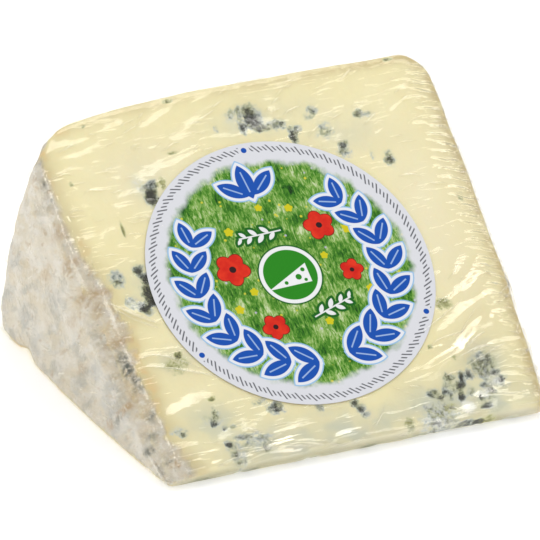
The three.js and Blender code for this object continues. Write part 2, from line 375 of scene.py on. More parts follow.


# %% Fluff, veils, pale places and painted highlights on the upper cut face, in the same terms
FLUFF = [
    (19, 8.5, 3, 2.5, 0.8), (23, 9, 2, 1.5, 0.8), (33.5, 18, 1.5, 2, 0.4), (32, 12, 1.5, 1.5, 0.7),
    (34.5, 14.5, 1, 1, 0.6), (-0.5, 87, 2, 2, 0.7), (2, 86, 2.5, 1.5, 0.5), (-21, 12, 4, 2, 0.5),
    (-38, 49, 1.5, 1.5, 0.5), (-27.5, 76, 1, 1.5, 0.9), (-39.5, 17.5, 1, 0.6, 0.8),
]
PAINTED_HIGHLIGHT_SPOTS = [(26.5, 9.5, 1.2, 1.3, 1), (31.5, 11.5, 0.6, 0.9, 0.5)]  # painted highlights: white spots where the film shines over the mould
VEILS = [  # of grey green in the paste round the mould
    (-6, 9, 26, 6, 0.9), (-30, 17, 9, 6, 0.7), (26, 11, 14, 6, 1.3), (34, 17, 6, 6, 0.9),
    (-34, 51, 6, 6, 0.5), (-25, 75, 4, 5, 0.5), (6, 86, 12, 5, 0.45), (22, 79, 10, 6, 0.35),
    (-34, 33, 5, 3, 0.5),
]
PALE = [(34, 56, 8, 24, 1), (-24, 78, 14, 9, 0.8), (-28, 36, 9, 12, 0.5), (24, 78, 12, 9, 0.5)]


def veils_on(p, places):
    """The strongest of some veils over the upper cut face, each fading as a bell curve does."""
    strongest = np.zeros(len(p))
    for along, out, half_along, half_out, strength in places:
        far = np.hypot((p[:, 0] - along) / half_along, (p @ top_out - out) / half_out)
        strongest = np.maximum(strongest, strength * np.exp(-(far**2)))
    return strongest


def tinge_on(p):
    veins = smoothstep(noise_at(p, 6.0, 21) + 0.6 * noise_at(p, 2.4, 23), -0.35, 0.4)
    return np.minimum(veils_on(p, VEILS) * (0.55 + 0.6 * veins), 1.0) * on_top_share(p)


def under_nose(p):
    """Painted shade, with some grey-green mould, at the foot of the thin edge where it meets the floor, from
    0 to 1.
    """
    foot = (1 - smoothstep(p[:, 2], 1.2, 4.2)) * (1 - smoothstep(p[:, 1], 10, 14))
    darkest = smoothstep(noise_at(p, 7.0, 51), -0.15, 0.3) * (1 - smoothstep(p[:, 2], 0.9, 2.4))
    return foot * (0.5 + 0.5 * darkest)


# %% Spots on the old end
# Each is a place on the end: outward from the cut edge, up from the base, half sizes, turn and strength.
GREY_SPOTS = [
    (75.5, 9.5, 4, 2.5, -20, 0.35), (24, 16, 1, 1, 0, 0.5), (66, 52, 1.4, 0.6, -40, 0.9),
    (66.7, 49.6, 0.9, 0.6, 0, 0.8), (62, 44.5, 1, 0.8, 0, 0.9), (15.6, 5.3, 2.4, 1, -40, 0.8),
    (28, 7, 2.2, 0.8, -45, 0.6), (60, 20, 4.5, 2, -40, 0.3),
]
BROWN_SPOTS = [
    (44.5, 29, 4, 1.3, -45, 0.7), (33, 23.5, 4.2, 1.2, -45, 0.7), (8, 10.5, 3.4, 1, -50, 0.9),
    (25.6, 10.9, 4, 1, -48, 0.9), (32, 4, 3.2, 1.2, -35, 0.8), (45.6, 11, 3.2, 1.2, -40, 0.5),
    (58, 38, 4.5, 1.8, -45, 0.6), (52, 33, 4, 1.6, -45, 0.7), (63, 26, 4.5, 2, -45, 0.5),
    (50, 20, 3.5, 1.6, -45, 0.4), (10.5, 14.5, 3, 1.4, -60, 0.6),
]

# Marks where the rind laps over the upper cut: along the axis, out, half sizes and strength.
GREY_ON_LAP = [
    (-45.5, 36.5, 1.2, 1.3, 0.9), (-45, 34, 1.3, 1.6, 1), (-44, 31.5, 0.9, 1.4, 1),
    (-43.5, 22.5, 0.9, 0.9, 0.6), (-45.5, 18, 1.3, 1, 0.7), (-43.5, 11, 0.8, 0.4, 0.7),
    (-46.5, 86.5, 0.5, 0.6, 1), (-46.5, 84.5, 0.4, 0.5, 0.8), (-48, 80.5, 0.6, 0.7, 0.8),
]
BROWN_ON_LAP = [(-46, 27.5, 1, 1.3, 0.9), (-42, 10, 0.4, 1, 1), (-46.5, 49.5, 1.2, 1.5, 0.7)]


def spots_on(p, on_end, on_lap):
    """The strongest of some spots on the old end and where its rind laps over, with wandering edges."""
    wander = 0.5 * noise_at(p, 1.8, 14)
    most = np.zeros(len(p))
    for y, z, half_y, half_z, degrees, strength in on_end:
        c, s = math.cos(math.radians(degrees)), math.sin(math.radians(degrees))
        dy, dz = p[:, 1] - y, p[:, 2] - z
        far = np.hypot((dy * c + dz * s) / half_y, (dz * c - dy * s) / half_z)
        most = np.maximum(most, strength * (1 - smoothstep(far + wander, 0.3, 1.5)))
    return np.maximum(most * smoothstep(-p[:, 0], 34, 42), ovals_on(p, on_lap, 0.3, 1.7))


# %% [markdown]
# ## The cheese
# The cheese is one block: paste on the two cuts, rind on the rim and the ends. It lies a little inside the
# film. Mould has eaten crags into the paste, and the rind is covered in fine lumps. The crags and lumps are
# real relief in the mesh, because light has to fall into them.

# %% Where the rind is
FINE_GRID = (164, 164, 66)  # the steps of the cheese and of the film
# How far the rind laps over the upper cut face at the old end: its edge along the axis, at distances out.
RIND_EDGE_OUT = (0, 6, 12, 20, 45, 56, 60, 64, 97)
RIND_EDGE_ALONG = (-37.5, -38.5, -40.5, -42.6, -42.4, -43.2, -45.4, -46.4, -46.8)

points, normals, quads = wedge_grid(*FINE_GRID)
over_rind, on_top = height_over_rind(points), on_top_share(points)
out = np.hypot(points[:, 1], points[:, 2])
old_side = smoothstep(-points[:, 0], 30, 44)
ragged = 1.6 * noise_at(points, 4.5, 4) + 1.0 * noise_at(points, 1.6, 15)
to_edge = over_rind - height_over_cuts(points) - 3.2 * (1 - old_side)
rind_edge = np.interp(out, RIND_EDGE_OUT, RIND_EDGE_ALONG)
past_edge = rind_edge - points[:, 0] + ragged * (1.1 - 0.8 * smoothstep(out, 54, 62))
rind = smoothstep(to_edge + ragged * (0.3 + 0.7 * old_side), -0.7, 0.7)
rind = np.maximum(rind, on_top * smoothstep(past_edge, -0.7, 0.7))
print(f"rind covers {rind.mean():.0%} of the points")

# %% Cheese mesh
FILM_GAP = 0.2  # between the film's outer face and the cheese
GAP_AT_NEW_END, GAP_AT_RIM = 0.3, 0.2  # added to it
CRAG_DEPTH = 0.8

mould = mould_on(points)
rind_lumps = 0.3 * noise_at(points, 4.0, 5) + 0.2 * noise_at(points, 1.8, 6) - 0.35
curd = 0.05 * noise_at(points, 3.0, 7)
crag = CRAG_DEPTH * mould * (0.75 + 0.7 * noise_at(points, 1.1, 8))
by_new_end, by_rim = smoothstep(points[:, 0], 42, 47), smoothstep(over_rind, -1.5, 0.0)
gap = FILM_GAP + GAP_AT_NEW_END * by_new_end + GAP_AT_RIM * by_rim
sunk = gap + (crag - curd) * (1 - rind) - rind_lumps * rind
cheese = make_piece("cheese", points + normals * (relief(points) - sunk)[:, None], quads.tolist())

# %% What the cheese's points carry for its finish
give_attributes(
    cheese,
    mould=mould * (1 - rind),
    tinge=tinge_on(points) * (1 - rind),
    olive=ovals_on(points, MOULD["specks"], 0.8, 2.8) * (1 - rind),
    fluff=ovals_on(points, FLUFF) * (1 - rind),
    # painted highlights of the film, as white spots in the mould
    chalk=ovals_on(points, PAINTED_HIGHLIGHT_SPOTS) * (1 - rind),
    pale=veils_on(points, PALE),
    # painted shade, with some grey-green mould, at the foot of the thin edge
    under_nose=under_nose(points) * (1 - rind),
    rind=rind,
    under_rind=np.minimum(-over_rind, points[:, 0] - rind_edge + 30 * (1 - on_top)),  # millimetres from it
    grey_spots=spots_on(points, GREY_SPOTS, GREY_ON_LAP),
    brown_spots=spots_on(points, BROWN_SPOTS, BROWN_ON_LAP),
    old_side=old_side,
    below_cut=-(points @ top_normal),  # millimetres under the upper cut face
)

# %% [markdown]
# ## Materials as expressions
# A material is a graph of nodes, but its sums read best as sums. A Wire wraps a socket, so that Python's own
# operators add the Math nodes. Everything else comes from one method that takes a node's type, its settings
# and its sockets. Colours go through Mix nodes, because a Math node would turn them grey. Trees of Geometry
# Nodes are written in the same way further down.

# %% Graphs of nodes, and wires between them
def math_operator(operation, reflected=False):
    def apply(self, other):
        pair = (other, self) if reflected else (self, other)
        return self.graph.node("ShaderNodeMath", {"operation": operation}, dict(enumerate(pair)))

    return apply


class Wire:
    """A socket that expressions can use."""

    __add__, __radd__ = math_operator("ADD"), math_operator("ADD", True)
    __sub__, __rsub__ = math_operator("SUBTRACT"), math_operator("SUBTRACT", True)
    __mul__, __rmul__ = math_operator("MULTIPLY"), math_operator("MULTIPLY", True)
    __truediv__, __rtruediv__ = math_operator("DIVIDE"), math_operator("DIVIDE", True)
    __pow__ = math_operator("POWER")
    at_least, at_most = math_operator("MAXIMUM"), math_operator("MINIMUM")
    modulo, angle_with = math_operator("FLOORED_MODULO"), math_operator("ARCTAN2")

    def __init__(self, graph, socket):
        self.graph, self.socket = graph, socket

    def __neg__(self):
        return 0.0 - self

    def apply(self, operation):
        return self.graph.node("ShaderNodeMath", {"operation": operation}, {0: self})

    def between(self, low, high):
        """A smooth step from 0 at low to 1 at high."""
        settings = {"interpolation_type": "SMOOTHSTEP"}
        return self.graph.node("ShaderNodeMapRange", settings, {0: self, 1: low, 2: high})


class Graph:
    """A tree of nodes."""

    def __init__(self, tree):
        self.tree = tree

    def node(self, kind, settings=None, sockets=None, output=0):
        made = self.tree.nodes.new(kind)
        for name, value in (settings or {}).items():
            setattr(made, name, value)
        for name, value in (sockets or {}).items():
            if isinstance(value, Wire):
                self.tree.links.new(value.socket, made.inputs[name])
            else:
                made.inputs[name].default_value = value
        return Wire(self, made.outputs[output])

    def part(self, axis, vector):
        return self.node("ShaderNodeSeparateXYZ", sockets={0: vector}, output=axis)


# %% Finishes
def paint(*rgb):
    """A colour as it looks on screen, 0 to 255, as the linear values that a shader takes."""
    linear = [c / 255 / 12.92 if c < 10.3 else ((c / 255 + 0.055) / 1.055) ** 2.4 for c in rgb]
    return (*linear, 1.0)


class Finish(Graph):
    """A material that is written as expressions."""

    def __init__(self, name):
        self.material = bpy.data.materials.new(name)
        self.material.use_nodes = True
        super().__init__(self.material.node_tree)
        self.tree.nodes.clear()

    def coordinates(self, kind="Object"):
        return self.node("ShaderNodeTexCoord", output=kind)

    def mapped(self, vector, **sockets):
        return self.node("ShaderNodeMapping", sockets={"Vector": vector, **sockets})

    def attribute(self, name):
        return self.node("ShaderNodeAttribute", {"attribute_name": name}, output="Fac")

    def noise(self, size, detail=2.0, vector=None, roughness=0.5, seed=0.0, distortion=0.0):
        """Noise between 0 and 1 that changes over about size millimetres."""
        sockets = {
            "Vector": vector or self.coordinates(), "Scale": 1 / (size * MM), "Detail": detail,
            "Roughness": roughness, "Distortion": distortion, "W": seed,
        }
        return self.node("ShaderNodeTexNoise", {"noise_dimensions": "4D"}, sockets)

    def mix(self, share, first, second):
        """A colour between two others."""
        return self.node("ShaderNodeMix", {"data_type": "RGBA"}, {0: share, 6: first, 7: second}, 2)

    def coats(self, colour, *coats):
        """A colour with others laid over it in turn, each as its share and its red, green and blue."""
        for share, rgb in coats:
            colour = self.mix(share, colour, paint(*rgb))
        return colour

    def ramp(self, value, *stops):
        """A colour that follows a value, by stops of a place and red, green and blue."""
        made = self.node("ShaderNodeValToRGB", sockets={0: value})
        elements = made.socket.node.color_ramp.elements
        while len(elements) < len(stops):
            elements.new(1.0)
        for element, (place, rgb) in zip(elements, stops):
            element.position, element.color = place, paint(*rgb)
        return made

    def bump(self, height, distance, normal=None):
        """A normal from a height between 0 and 1 that stands for so many millimetres."""
        sockets = {"Height": height, "Distance": distance * MM}
        if normal:
            sockets["Normal"] = normal
        return self.node("ShaderNodeBump", sockets=sockets)

    def surface(self, kind, sockets):
        """Ends the material with a shader."""
        last = self.tree.nodes.new("ShaderNodeOutputMaterial")
        self.tree.links.new(self.node(kind, sockets=sockets).socket, last.inputs["Surface"])
        return self.material


# %% [markdown]
# ## Finish of the cheese
# The paste is a pale cream, a little darker just under the rind, with tan patches on the old side, and it is
# painted darker at the foot of the thin edge: painted shade, with some grey-green mould. Mould goes from a
# pale grey halo through grey green to nearly black in the crags, and a few white spots in it are painted
# highlights of the film. The rind is greyish beige with a white bloom, grey and tan patches and olive specks.
# The points carry where the mould, the rind and its spots are, and fine noise breaks up their borders.

# %% Paste
def paste_colour(f):
    under, old, foot = (f.attribute(name) for name in ("under_rind", "old_side", "under_nose"))
    cloud = f.noise(14.0, 3.0).between(0.35, 0.7)
    grain = f.noise(1.2, 3.0, seed=2.0).between(0.3, 0.8)
    places = f.noise(9.0, 2.0, seed=5.0).between(0.42, 0.58)
    near = (1 - under.between(0.0, 6.0)) ** 1.3
    wisps = f.noise(2.2, 3.0, seed=8.0, roughness=0.6).between(0.36, 0.56) * (1 - under.between(1.2, 4.2))
    by_new_end = f.part("X", f.coordinates()).between(20 * MM, 36 * MM)
    tan = f.noise(4.5, 2.0, seed=6.0).between(0.4, 0.6) * places * (1 - under.between(0.8, 4.5))
    return f.coats(
        f.mix(cloud * 0.8, paint(245, 235, 186), paint(240, 229, 180)),
        (grain * 0.2, (233, 221, 168)),
        (f.attribute("pale") * 0.8, (243, 234, 199)),
        (f.attribute("tinge") * 0.9, (201, 205, 184)),
        # painted shade, with some grey-green mould, at the foot of the thin edge, darkest at the bottom
        (foot.between(0.0, 0.48) * 0.9, (178, 173, 138)),
        (foot.between(0.5, 0.95) * 0.85, (104, 110, 70)),
        (near * (0.6 + 0.35 * places), (214, 200, 148)),
        (wisps * (1 - old) * (0.2 + 0.45 * by_new_end), (190, 166, 108)),
        ((1 - under.between(0.1, 1.3)) * (1 - old) * 0.5, (188, 179, 150)),
        (tan * old * 0.85, (229, 198, 138)),
    )


# %% Mould
def mould_colour(f, growth):
    tint = f.noise(2.4, 2.0, seed=7.0).between(0.38, 0.62) * 0.6
    tint = tint.at_least(f.attribute("olive").between(0.02, 0.3))
    grey = f.ramp(
        growth, (0.0, (221, 220, 197)), (0.3, (203, 207, 195)), (0.52, (158, 165, 157)),
        (0.72, (86, 94, 88)), (0.92, (24, 28, 26)),
    )
    olive = f.ramp(
        growth, (0.0, (224, 221, 182)), (0.3, (194, 194, 140)), (0.58, (142, 142, 82)), (0.95, (50, 52, 26)),
    )
    fluff = f.attribute("fluff") * f.noise(0.8, 3.0, seed=9.0, roughness=0.7).between(0.42, 0.6)
    # Painted highlights: white spots where the film shines over the mould.
    chalk = f.attribute("chalk").between(0.2, 0.8)
    return f.coats(f.mix(tint, grey, olive), (fluff * 0.85, (220, 223, 220)), (chalk * 0.85, (250, 250, 242)))


# %% Rind
RIND_GRAIN_TURN, RIND_GRAIN_STRETCH = math.radians(31), 0.48


def rind_grain(f):
    """Coordinates drawn out along the way in which the old end has sagged."""
    turned_grain = f.mapped(f.coordinates(), Rotation=(RIND_GRAIN_TURN, 0.0, 0.0))
    return f.mapped(turned_grain, Scale=(1.0, RIND_GRAIN_STRETCH, 1.0))


def rind_colour(f):
    grain = rind_grain(f)

    def patches(size, low, high, seed, roughness=0.5, detail=3.0):
        return f.noise(size, detail, vector=grain, seed=seed, roughness=roughness).between(low, high)

    height = f.part("Z", f.coordinates())
    low = 1 - height.between(8 * MM, 36 * MM)
    tan = patches(4.4, 0.47, 0.62, 13.0, 0.55)
    white = patches(2.6, 0.46, 0.62, 11.0, 0.55)
    grey = patches(3.6, 0.48, 0.63, 19.0, 0.55)
    blue = patches(5.5, 0.47, 0.64, 21.0, 0.55)
    brown = patches(1.5, 0.6, 0.7, 37.0)
    speck = patches(0.6, 0.65, 0.75, 39.0, detail=2.0)
    crumbs = patches(1.0, 0.5, 0.62, 45.0, 0.6)
    by_cut = 1 - f.attribute("below_cut").between(0.5, 9.0)
    edge_tan = by_cut * tan.at_least(0.2) * (1 - height.between(34 * MM, 46 * MM))
    browned = f.attribute("brown_spots") * f.noise(1.0, 3.0, seed=43.0).between(0.3, 0.55)
    greyed = f.attribute("grey_spots") * f.noise(0.9, 3.0, seed=47.0).between(0.32, 0.55)
    return f.coats(
        f.mix(tan * (0.75 - 0.45 * low), paint(216, 206, 185), paint(206, 189, 152)),
        (grey * (0.55 + 0.3 * low), (180, 176, 162)),
        (blue * (0.25 + 0.4 * low), (188, 189, 186)),
        (white * 0.7, (226, 220, 208)),
        (brown * 0.55, (180, 154, 116)),
        (edge_tan * 0.4, (218, 194, 148)),
        (by_cut * crumbs * 0.5, (240, 235, 222)),
        (low * 0.09, (140, 136, 124)),
        (speck * 0.75, (140, 136, 112)),
        ((1 - f.attribute("old_side")) * 0.45, (208, 191, 144)),
        (browned * 0.85, (176, 144, 98)),
        (greyed, (92, 96, 86)),
    )


# %% The whole finish
def cheese_finish():
    f = Finish("cheese")
    rind, spread = f.attribute("rind"), f.attribute("mould")
    fine = f.noise(0.9, 4.0, seed=23.0, roughness=0.7)
    growth = (spread + (fine - 0.5) * 1.9 * spread.between(0.02, 0.4)).at_least(0.0).at_most(1.0)
    # The painted highlights show over the paste as well.
    shown = growth.between(0.03, 0.35).at_least(f.attribute("fluff") * 0.8).at_least(f.attribute("chalk"))
    cut = f.mix(shown, paste_colour(f), mould_colour(f, growth))
    crust = f.noise(1.9, 4.0, vector=rind_grain(f), seed=31.0, roughness=0.6)
    curd_bump = f.bump(f.noise(0.8, 4.0, seed=29.0), 0.12)
    return f.surface("ShaderNodeBsdfPrincipled", {
        "Base Color": f.mix(rind, cut, rind_colour(f)), "Roughness": 0.55 + 0.25 * rind,
        "Normal": f.bump(crust * rind, 1.0, curd_bump), "Specular IOR Level": 0.3,
        "Subsurface Weight": 0.25, "Subsurface Radius": (1.0, 0.75, 0.45), "Subsurface Scale": 1.5 * MM,
    })


cheese.data.materials.append(cheese_finish())

# %% [markdown]
# ## The film
# Cling film shows only by what it mirrors. It is one closed skin on the wedge's form, with broad soft sags
# from being drawn tight and with folds along chosen paths. A mirror mixed over full transparency by the
# angle of sight is what film does: glass that bends light would cost much more time and look no better on so
# thin a skin.

# %% Smooth paths
def smooth_path(corners, count):
    """Points along a smooth curve through a few corners."""
    corners = np.array(corners, dtype=float)
    ends = np.concatenate([2 * corners[:1] - corners[1:2], corners, 2 * corners[-1:] - corners[-2:-1]])
    where = np.linspace(0, len(corners) - 1, count)
    i = np.minimum(where.astype(int), len(corners) - 2)
    t = (where - i)[:, None]
    a, b, c, d = (ends[i + k] for k in range(4))
    return b + ((c - a) * t + (2 * a - 5 * b + 4 * c - d) * t**2 + (3 * b - a - 3 * c + d) * t**3) / 2


# %% Folds over the upper cut face
# Each is a path along and out, with the half width and the height.
FOLDS = [
    ([(-41.5, 87.5), (-37, 88), (-33.5, 89)], 0.8, 0.16), ([(-41, 91.5), (-35, 92.5)], 0.7, 0.12),
    ([(-37.5, 86.5), (-32, 86.5)], 0.7, 0.12), ([(-43.5, 84.5), (-37, 84.5), (-30, 84.5)], 0.7, 0.15),
    ([(-31, 89), (-24.5, 91)], 1.2, 0.25), ([(-25.5, 78.5), (-19, 78.5), (-14.5, 80), (-4, 82.5)], 1, 0.3),
    ([(-21, 76.5), (-16.5, 78.5), (-10, 80.5)], 0.7, 0.2),
    ([(-18, 91.5), (-15.5, 91.5), (-11.5, 92.5)], 0.9, 0.2),
    ([(-13.5, 87), (-9.5, 88), (-5.5, 88), (-1.5, 89)], 0.9, 0.2),
    ([(-42, 74.5), (-35.5, 74), (-28, 73)], 0.7, 0.13), ([(-42.5, 72.5), (-37.5, 72)], 0.8, 0.18),
    ([(-44.5, 66), (-40.5, 65.5)], 0.8, 0.18),
    ([(33, 84.5), (38, 85.5), (41.5, 87.5), (44, 88.5)], 0.8, 0.2),
    ([(33.5, 81), (38.5, 83.5), (44.5, 84.5)], 0.8, 0.22),
    ([(35, 78), (39.5, 77.5), (41.5, 78), (45, 77), (47.5, 75.5)], 0.55, 0.2),
    ([(28.5, 76.5), (33.5, 78.5)], 0.8, 0.2), ([(9, 91.5), (11, 86.5), (15, 79.5)], 0.8, 0.22),
    ([(33, 35.5), (36.5, 36.5), (39.5, 39), (45, 43)], 1.5, 0.7),
    ([(25, 27), (29.5, 29), (34, 31.5), (38.5, 33.5), (43.5, 35)], 1.3, 0.7),
    ([(38.5, 28.5), (45, 31)], 0.9, 0.4), ([(27.5, 24), (33.5, 25), (37.5, 26), (43, 26)], 1.9, 0.85),
    ([(20.5, 19), (25.5, 21), (29.5, 22.5)], 0.9, 0.35), ([(36, 15.5), (39.5, 14), (43.5, 12)], 0.6, 0.35),
    ([(29, 11), (34.5, 9.5), (43, 6.5)], 1.2, 0.5), ([(33, 8.5), (42, 6.5)], 1, 0.4),
    ([(-42, 35), (-39, 35.5), (-35, 34), (-28.5, 30)], 0.7, 0.4),
    ([(-47, 84), (-46, 75), (-45, 66), (-44.5, 58), (-43, 50)], 0.6, 0.35),
    ([(34, 39), (40, 45)], 0.9, 0.4), ([(29, 33.5), (35, 36.5)], 0.8, 0.3),
    ([(36, 22), (44, 22.5)], 1, 0.5),
    ([(20, 17.5), (24.5, 20.5), (29, 22), (34, 22.5), (40, 21.5)], 1.6, 0.75),
    ([(13.5, 19.5), (21, 20), (27.5, 21.5)], 0.7, 0.35),
    ([(27, 11), (30.5, 11), (35, 10), (39, 9), (42, 7.5)], 0.8, 0.4),
    ([(39, 15), (41, 14), (44, 12)], 0.6, 0.3), ([(12.5, 17), (19, 18), (25, 19.5)], 0.7, 0.35),
    ([(24.5, 19.5), (27.5, 21), (31.5, 22.5)], 0.6, 0.3), ([(33, 8.5), (36.5, 8), (42, 7)], 0.8, 0.4),
    ([(38, 20.5), (42, 22), (45.5, 22.5)], 0.7, 0.35),
    ([(-42, 33.5), (-37, 32), (-28.5, 28.5), (-25, 26.5), (-19.5, 21)], 0.7, 0.4),
    ([(-43.5, 49), (-39, 45), (-34, 41.5)], 0.8, 0.45), ([(-39.5, 43), (-35, 41), (-32, 38)], 0.7, 0.3),
    ([(-43, 17.5), (-38, 20.5), (-32, 22), (-26, 22)], 2.4, 0.52),
    ([(-15.5, 12), (-11, 12.5), (-7, 10.5)], 1.3, 0.3), ([(-20, 10), (-13.5, 9), (-4, 6)], 0.7, 0.25),
    ([(-28, 15), (-24, 13.5), (-18.5, 12)], 0.6, 0.2),
]

# %% Families of softer folds
# Each has two ranges, how many, the heading in degrees at the start and the end of the second range, its
# spread, the lengths, the half widths and the heights.
FOLD_FAMILIES = [
    ((-46, -24), (62, 93), 34, (-6, 6), 5, (5, 13), (0.7, 1.1), (0.08, 0.16)),
    ((-24, 6), (82, 94), 18, (10, 16), 8, (4, 10), (0.6, 1.0), (0.08, 0.16)),
    ((6, 40), (76, 94), 18, (18, 26), 8, (4, 11), (0.6, 1.1), (0.08, 0.16)),
    ((24, 46), (18, 48), 16, (22, 42), 6, (5, 13), (0.8, 1.3), (0.12, 0.3)),
    ((-40, 30), (4, 18), 30, (-2, 4), 10, (4, 13), (0.6, 1.1), (0.14, 0.32)),
]


def all_folds():
    random = np.random.default_rng(6)
    folds = list(FOLDS)
    for first, second, count, headings, spread, lengths, halves, heights in FOLD_FAMILIES:
        for i in range(count):
            b = second[0] + (second[1] - second[0]) * (i + random.uniform(0, 1)) / count
            middle = np.array([random.uniform(*first), b])
            turn = math.radians(random.normal(np.interp(b, second, headings), spread))
            reach = random.uniform(*lengths) / 2 * np.array([math.cos(turn), math.sin(turn)])
            bow = random.normal(0, 0.08) * np.array([-reach[1], reach[0]])
            path = [middle - reach, middle + bow, middle + reach]
            folds.append((path, random.uniform(*halves), random.uniform(*heights)))
    return folds


folds = all_folds()
print(len(folds), "folds over the upper cut face")


# %% Height of the folds
def fold_height(along, out):
    """How high the folds stand at places on the upper cut face, in millimetres."""
    height = np.zeros(len(along))
    for path, half, top in folds:
        curve = smooth_path(path, 9)
        low, high = curve.min(axis=0) - 3 * half, curve.max(axis=0) + 3 * half
        close = np.flatnonzero((along > low[0]) & (along < high[0]) & (out > low[1]) & (out < high[1]))
        place = np.column_stack([along[close], out[close]])
        nearest, share = np.full(len(close), 1e9), np.zeros(len(close))
        for i, (start, step) in enumerate(zip(curve[:-1], np.diff(curve, axis=0))):
            t = np.clip((place - start) @ step / (step @ step), 0, 1)
            far = np.linalg.norm(place - start - t[:, None] * step, axis=1)
            closer = far < nearest
            nearest[closer], share[closer] = far[closer], (i + t[closer]) / (len(curve) - 1)
        height[close] += top * np.exp(-((nearest / half) ** 2)) * np.sin(math.pi * share) ** 0.8
    return height


# %% Film mesh
FILM_INSIDE = 0.1  # how far the film lies under the solid's face, so that its folds have room
SAG_ON_TOP, SAG_ELSEWHERE, STREAK_ELSEWHERE = 0.04, 0.1, 0.16


def sags(p):
    """Height of the film's folds and sags, in millimetres. It lies flat under the sticker."""
    along, out = p[:, 0], np.hypot(p[:, 1], p[:, 2])
    top = on_top_share(p)
    height = SAG_ON_TOP * streaks_at(along, out, 4, 14, 2.6, 1) + top * fold_height(along, out)
    around = np.column_stack([p[:, 0] / 3.5, p[:, 1] / 9, p[:, 2] / 9])
    elsewhere = SAG_ELSEWHERE * noise_at(p, 3.5, 9) + STREAK_ELSEWHERE * noise_at(around, 1.0, 19)
    height = height + (1 - top) * elsewhere
    from_sticker = np.hypot(along - STICKER_ALONG, p @ top_out - STICKER_OUT)
    return height * (1 - top * (1 - smoothstep(from_sticker, STICKER_RADIUS - 0.5, STICKER_RADIUS + 2.5)))


def keep_in_box(p, margin=0.0):
    """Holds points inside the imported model's own box."""
    return np.clip(p, model_low - wheel_origin + margin, model_high - wheel_origin - margin)


film_points = keep_in_box(points + normals * (relief(points) + sags(points) - FILM_INSIDE)[:, None])
film = make_piece("film", film_points, quads.tolist())

# %% Where the film is bunched, barred or in several layers
# It pleats in short, even bars along the upper cut's edge at the new end.
BARS_HEADING, BARS_PITCH, BARS_HEIGHT = -22, 2.1, 0.36
LAYERS = [  # along and out, half sizes and strength
    (34, 10.5, 12, 5, 0.3), (45, 66, 4, 28, 0.8), (40, 33, 7, 13, 0.6), (-6, 8, 30, 4, 0.5),
    (-37, 24, 7, 14, 0.3), (-46, 70, 2, 17, 0.5), (31, 23.5, 6, 2.5, 1.4),
]


def bunched_on(p):
    by_thin_edge = 1 - smoothstep(np.hypot(p[:, 1], p[:, 2]), 6, 17)
    return by_thin_edge * smoothstep(streaks_at(p[:, 0], p @ top_out, 2, 9, 2.2, 31), -0.25, 0.55)


def barred_on(p):
    by_new_end = smoothstep(p[:, 0], 38.5, 42.5) * (1 - smoothstep(p[:, 0], 46.5, 48.2))
    return by_new_end * smoothstep(streaks_at(p[:, 0], p @ top_out, BARS_HEADING, 5, 2.5, 33), -0.6, 0.0)


give_attributes(
    film, bunched=bunched_on(points) * on_top, barred=barred_on(points) * on_top,
    layers=veils_on(points, LAYERS) * on_top,
)


# %% Finish of the film
def crests(value):
    """Thin crests where a noise crosses its middle."""
    return (1 - (value * 2 - 1).apply("ABSOLUTE")) ** 5.0


def bars(f):
    """Even ridges over the upper cut face, from 0 to 1, that run along their heading."""
    heading = math.radians(BARS_HEADING)
    across = math.cos(heading) * top_out - math.sin(heading) * np.array([1.0, 0.0, 0.0])
    sockets = {0: f.coordinates(), 1: across.tolist()}
    reach = f.node("ShaderNodeVectorMath", {"operation": "DOT_PRODUCT"}, sockets, 1)
    wander = (f.noise(4.0, 1.0, seed=15.0) - 0.5) * 0.9
    return ((reach / (BARS_PITCH * MM) + wander) * (2 * math.pi)).apply("COSINE") * 0.5 + 0.5


FACING_MIRROR, MOST_BY_ANGLE = 0.04, 0.15  # shares that one clear skin mirrors
LAYERS_GAIN, BUNCHED_HAZE, MOST_MIRRORED = 2.2, 0.22, 0.45


def film_finish(name, mirror, haze, roughness):
    f = Finish(name)
    fine = crests(f.noise(2.2, 2.0, vector=f.mapped(f.coordinates(), Scale=(0.16, 1.0, 1.0)), seed=3.0))
    normal = f.bump(fine * f.noise(6.0, 1.0, seed=5.0).between(0.4, 0.6), 0.1)
    normal = f.bump(f.noise(2.5, 2.0, seed=6.0), 0.07, normal)
    normal = f.bump(bars(f) * f.attribute("barred"), BARS_HEIGHT, normal)
    facing = f.node("ShaderNodeLayerWeight", sockets={"Blend": 0.5, "Normal": normal}, output="Facing")
    by_angle = (FACING_MIRROR + (1 - FACING_MIRROR) * facing**5.0).at_most(MOST_BY_ANGLE)
    mirrored = by_angle * mirror * (1 + LAYERS_GAIN * f.attribute("layers"))
    share = (mirrored + haze + f.attribute("bunched") * BUNCHED_HAZE).at_most(MOST_MIRRORED)
    clear = f.node("ShaderNodeBsdfTransparent", sockets={"Color": (0.99, 0.99, 0.985, 1.0)})
    gloss = f.node("ShaderNodeBsdfGlossy", sockets={
        "Color": (1.0, 0.97, 0.89, 1.0), "Roughness": roughness, "Normal": normal,
    })
    return f.surface("ShaderNodeMixShader", {0: share, 1: clear, 2: gloss})


film.data.materials.append(film_finish("clear_film", mirror=1.4, haze=0.0, roughness=0.13))

# %% [markdown]
# ## Gathers in the film
# Where the film gathers it makes low ridges that each catch the light as a bright dash. They follow paths
# over the surface, so Geometry Nodes make them: each path becomes a low lens-shaped ridge, thinning to
# nothing at both ends, half sunk in the film. One tree does this for every path. Each path's points carry
# the direction off the surface, which keeps the ridges flat on it, and their own half width.

# %% Paths over the surface
def on_top_face(along, out):
    """Points over the upper cut face, which go on down the ends where they pass an end's edge."""
    within = np.clip(along, -WHEEL_HEIGHT / 2, WHEEL_HEIGHT / 2)
    past = np.abs(along - within)
    axis = np.column_stack([within, np.zeros((len(along), 2))])
    return axis + out[:, None] * top_out - past[:, None] * top_normal


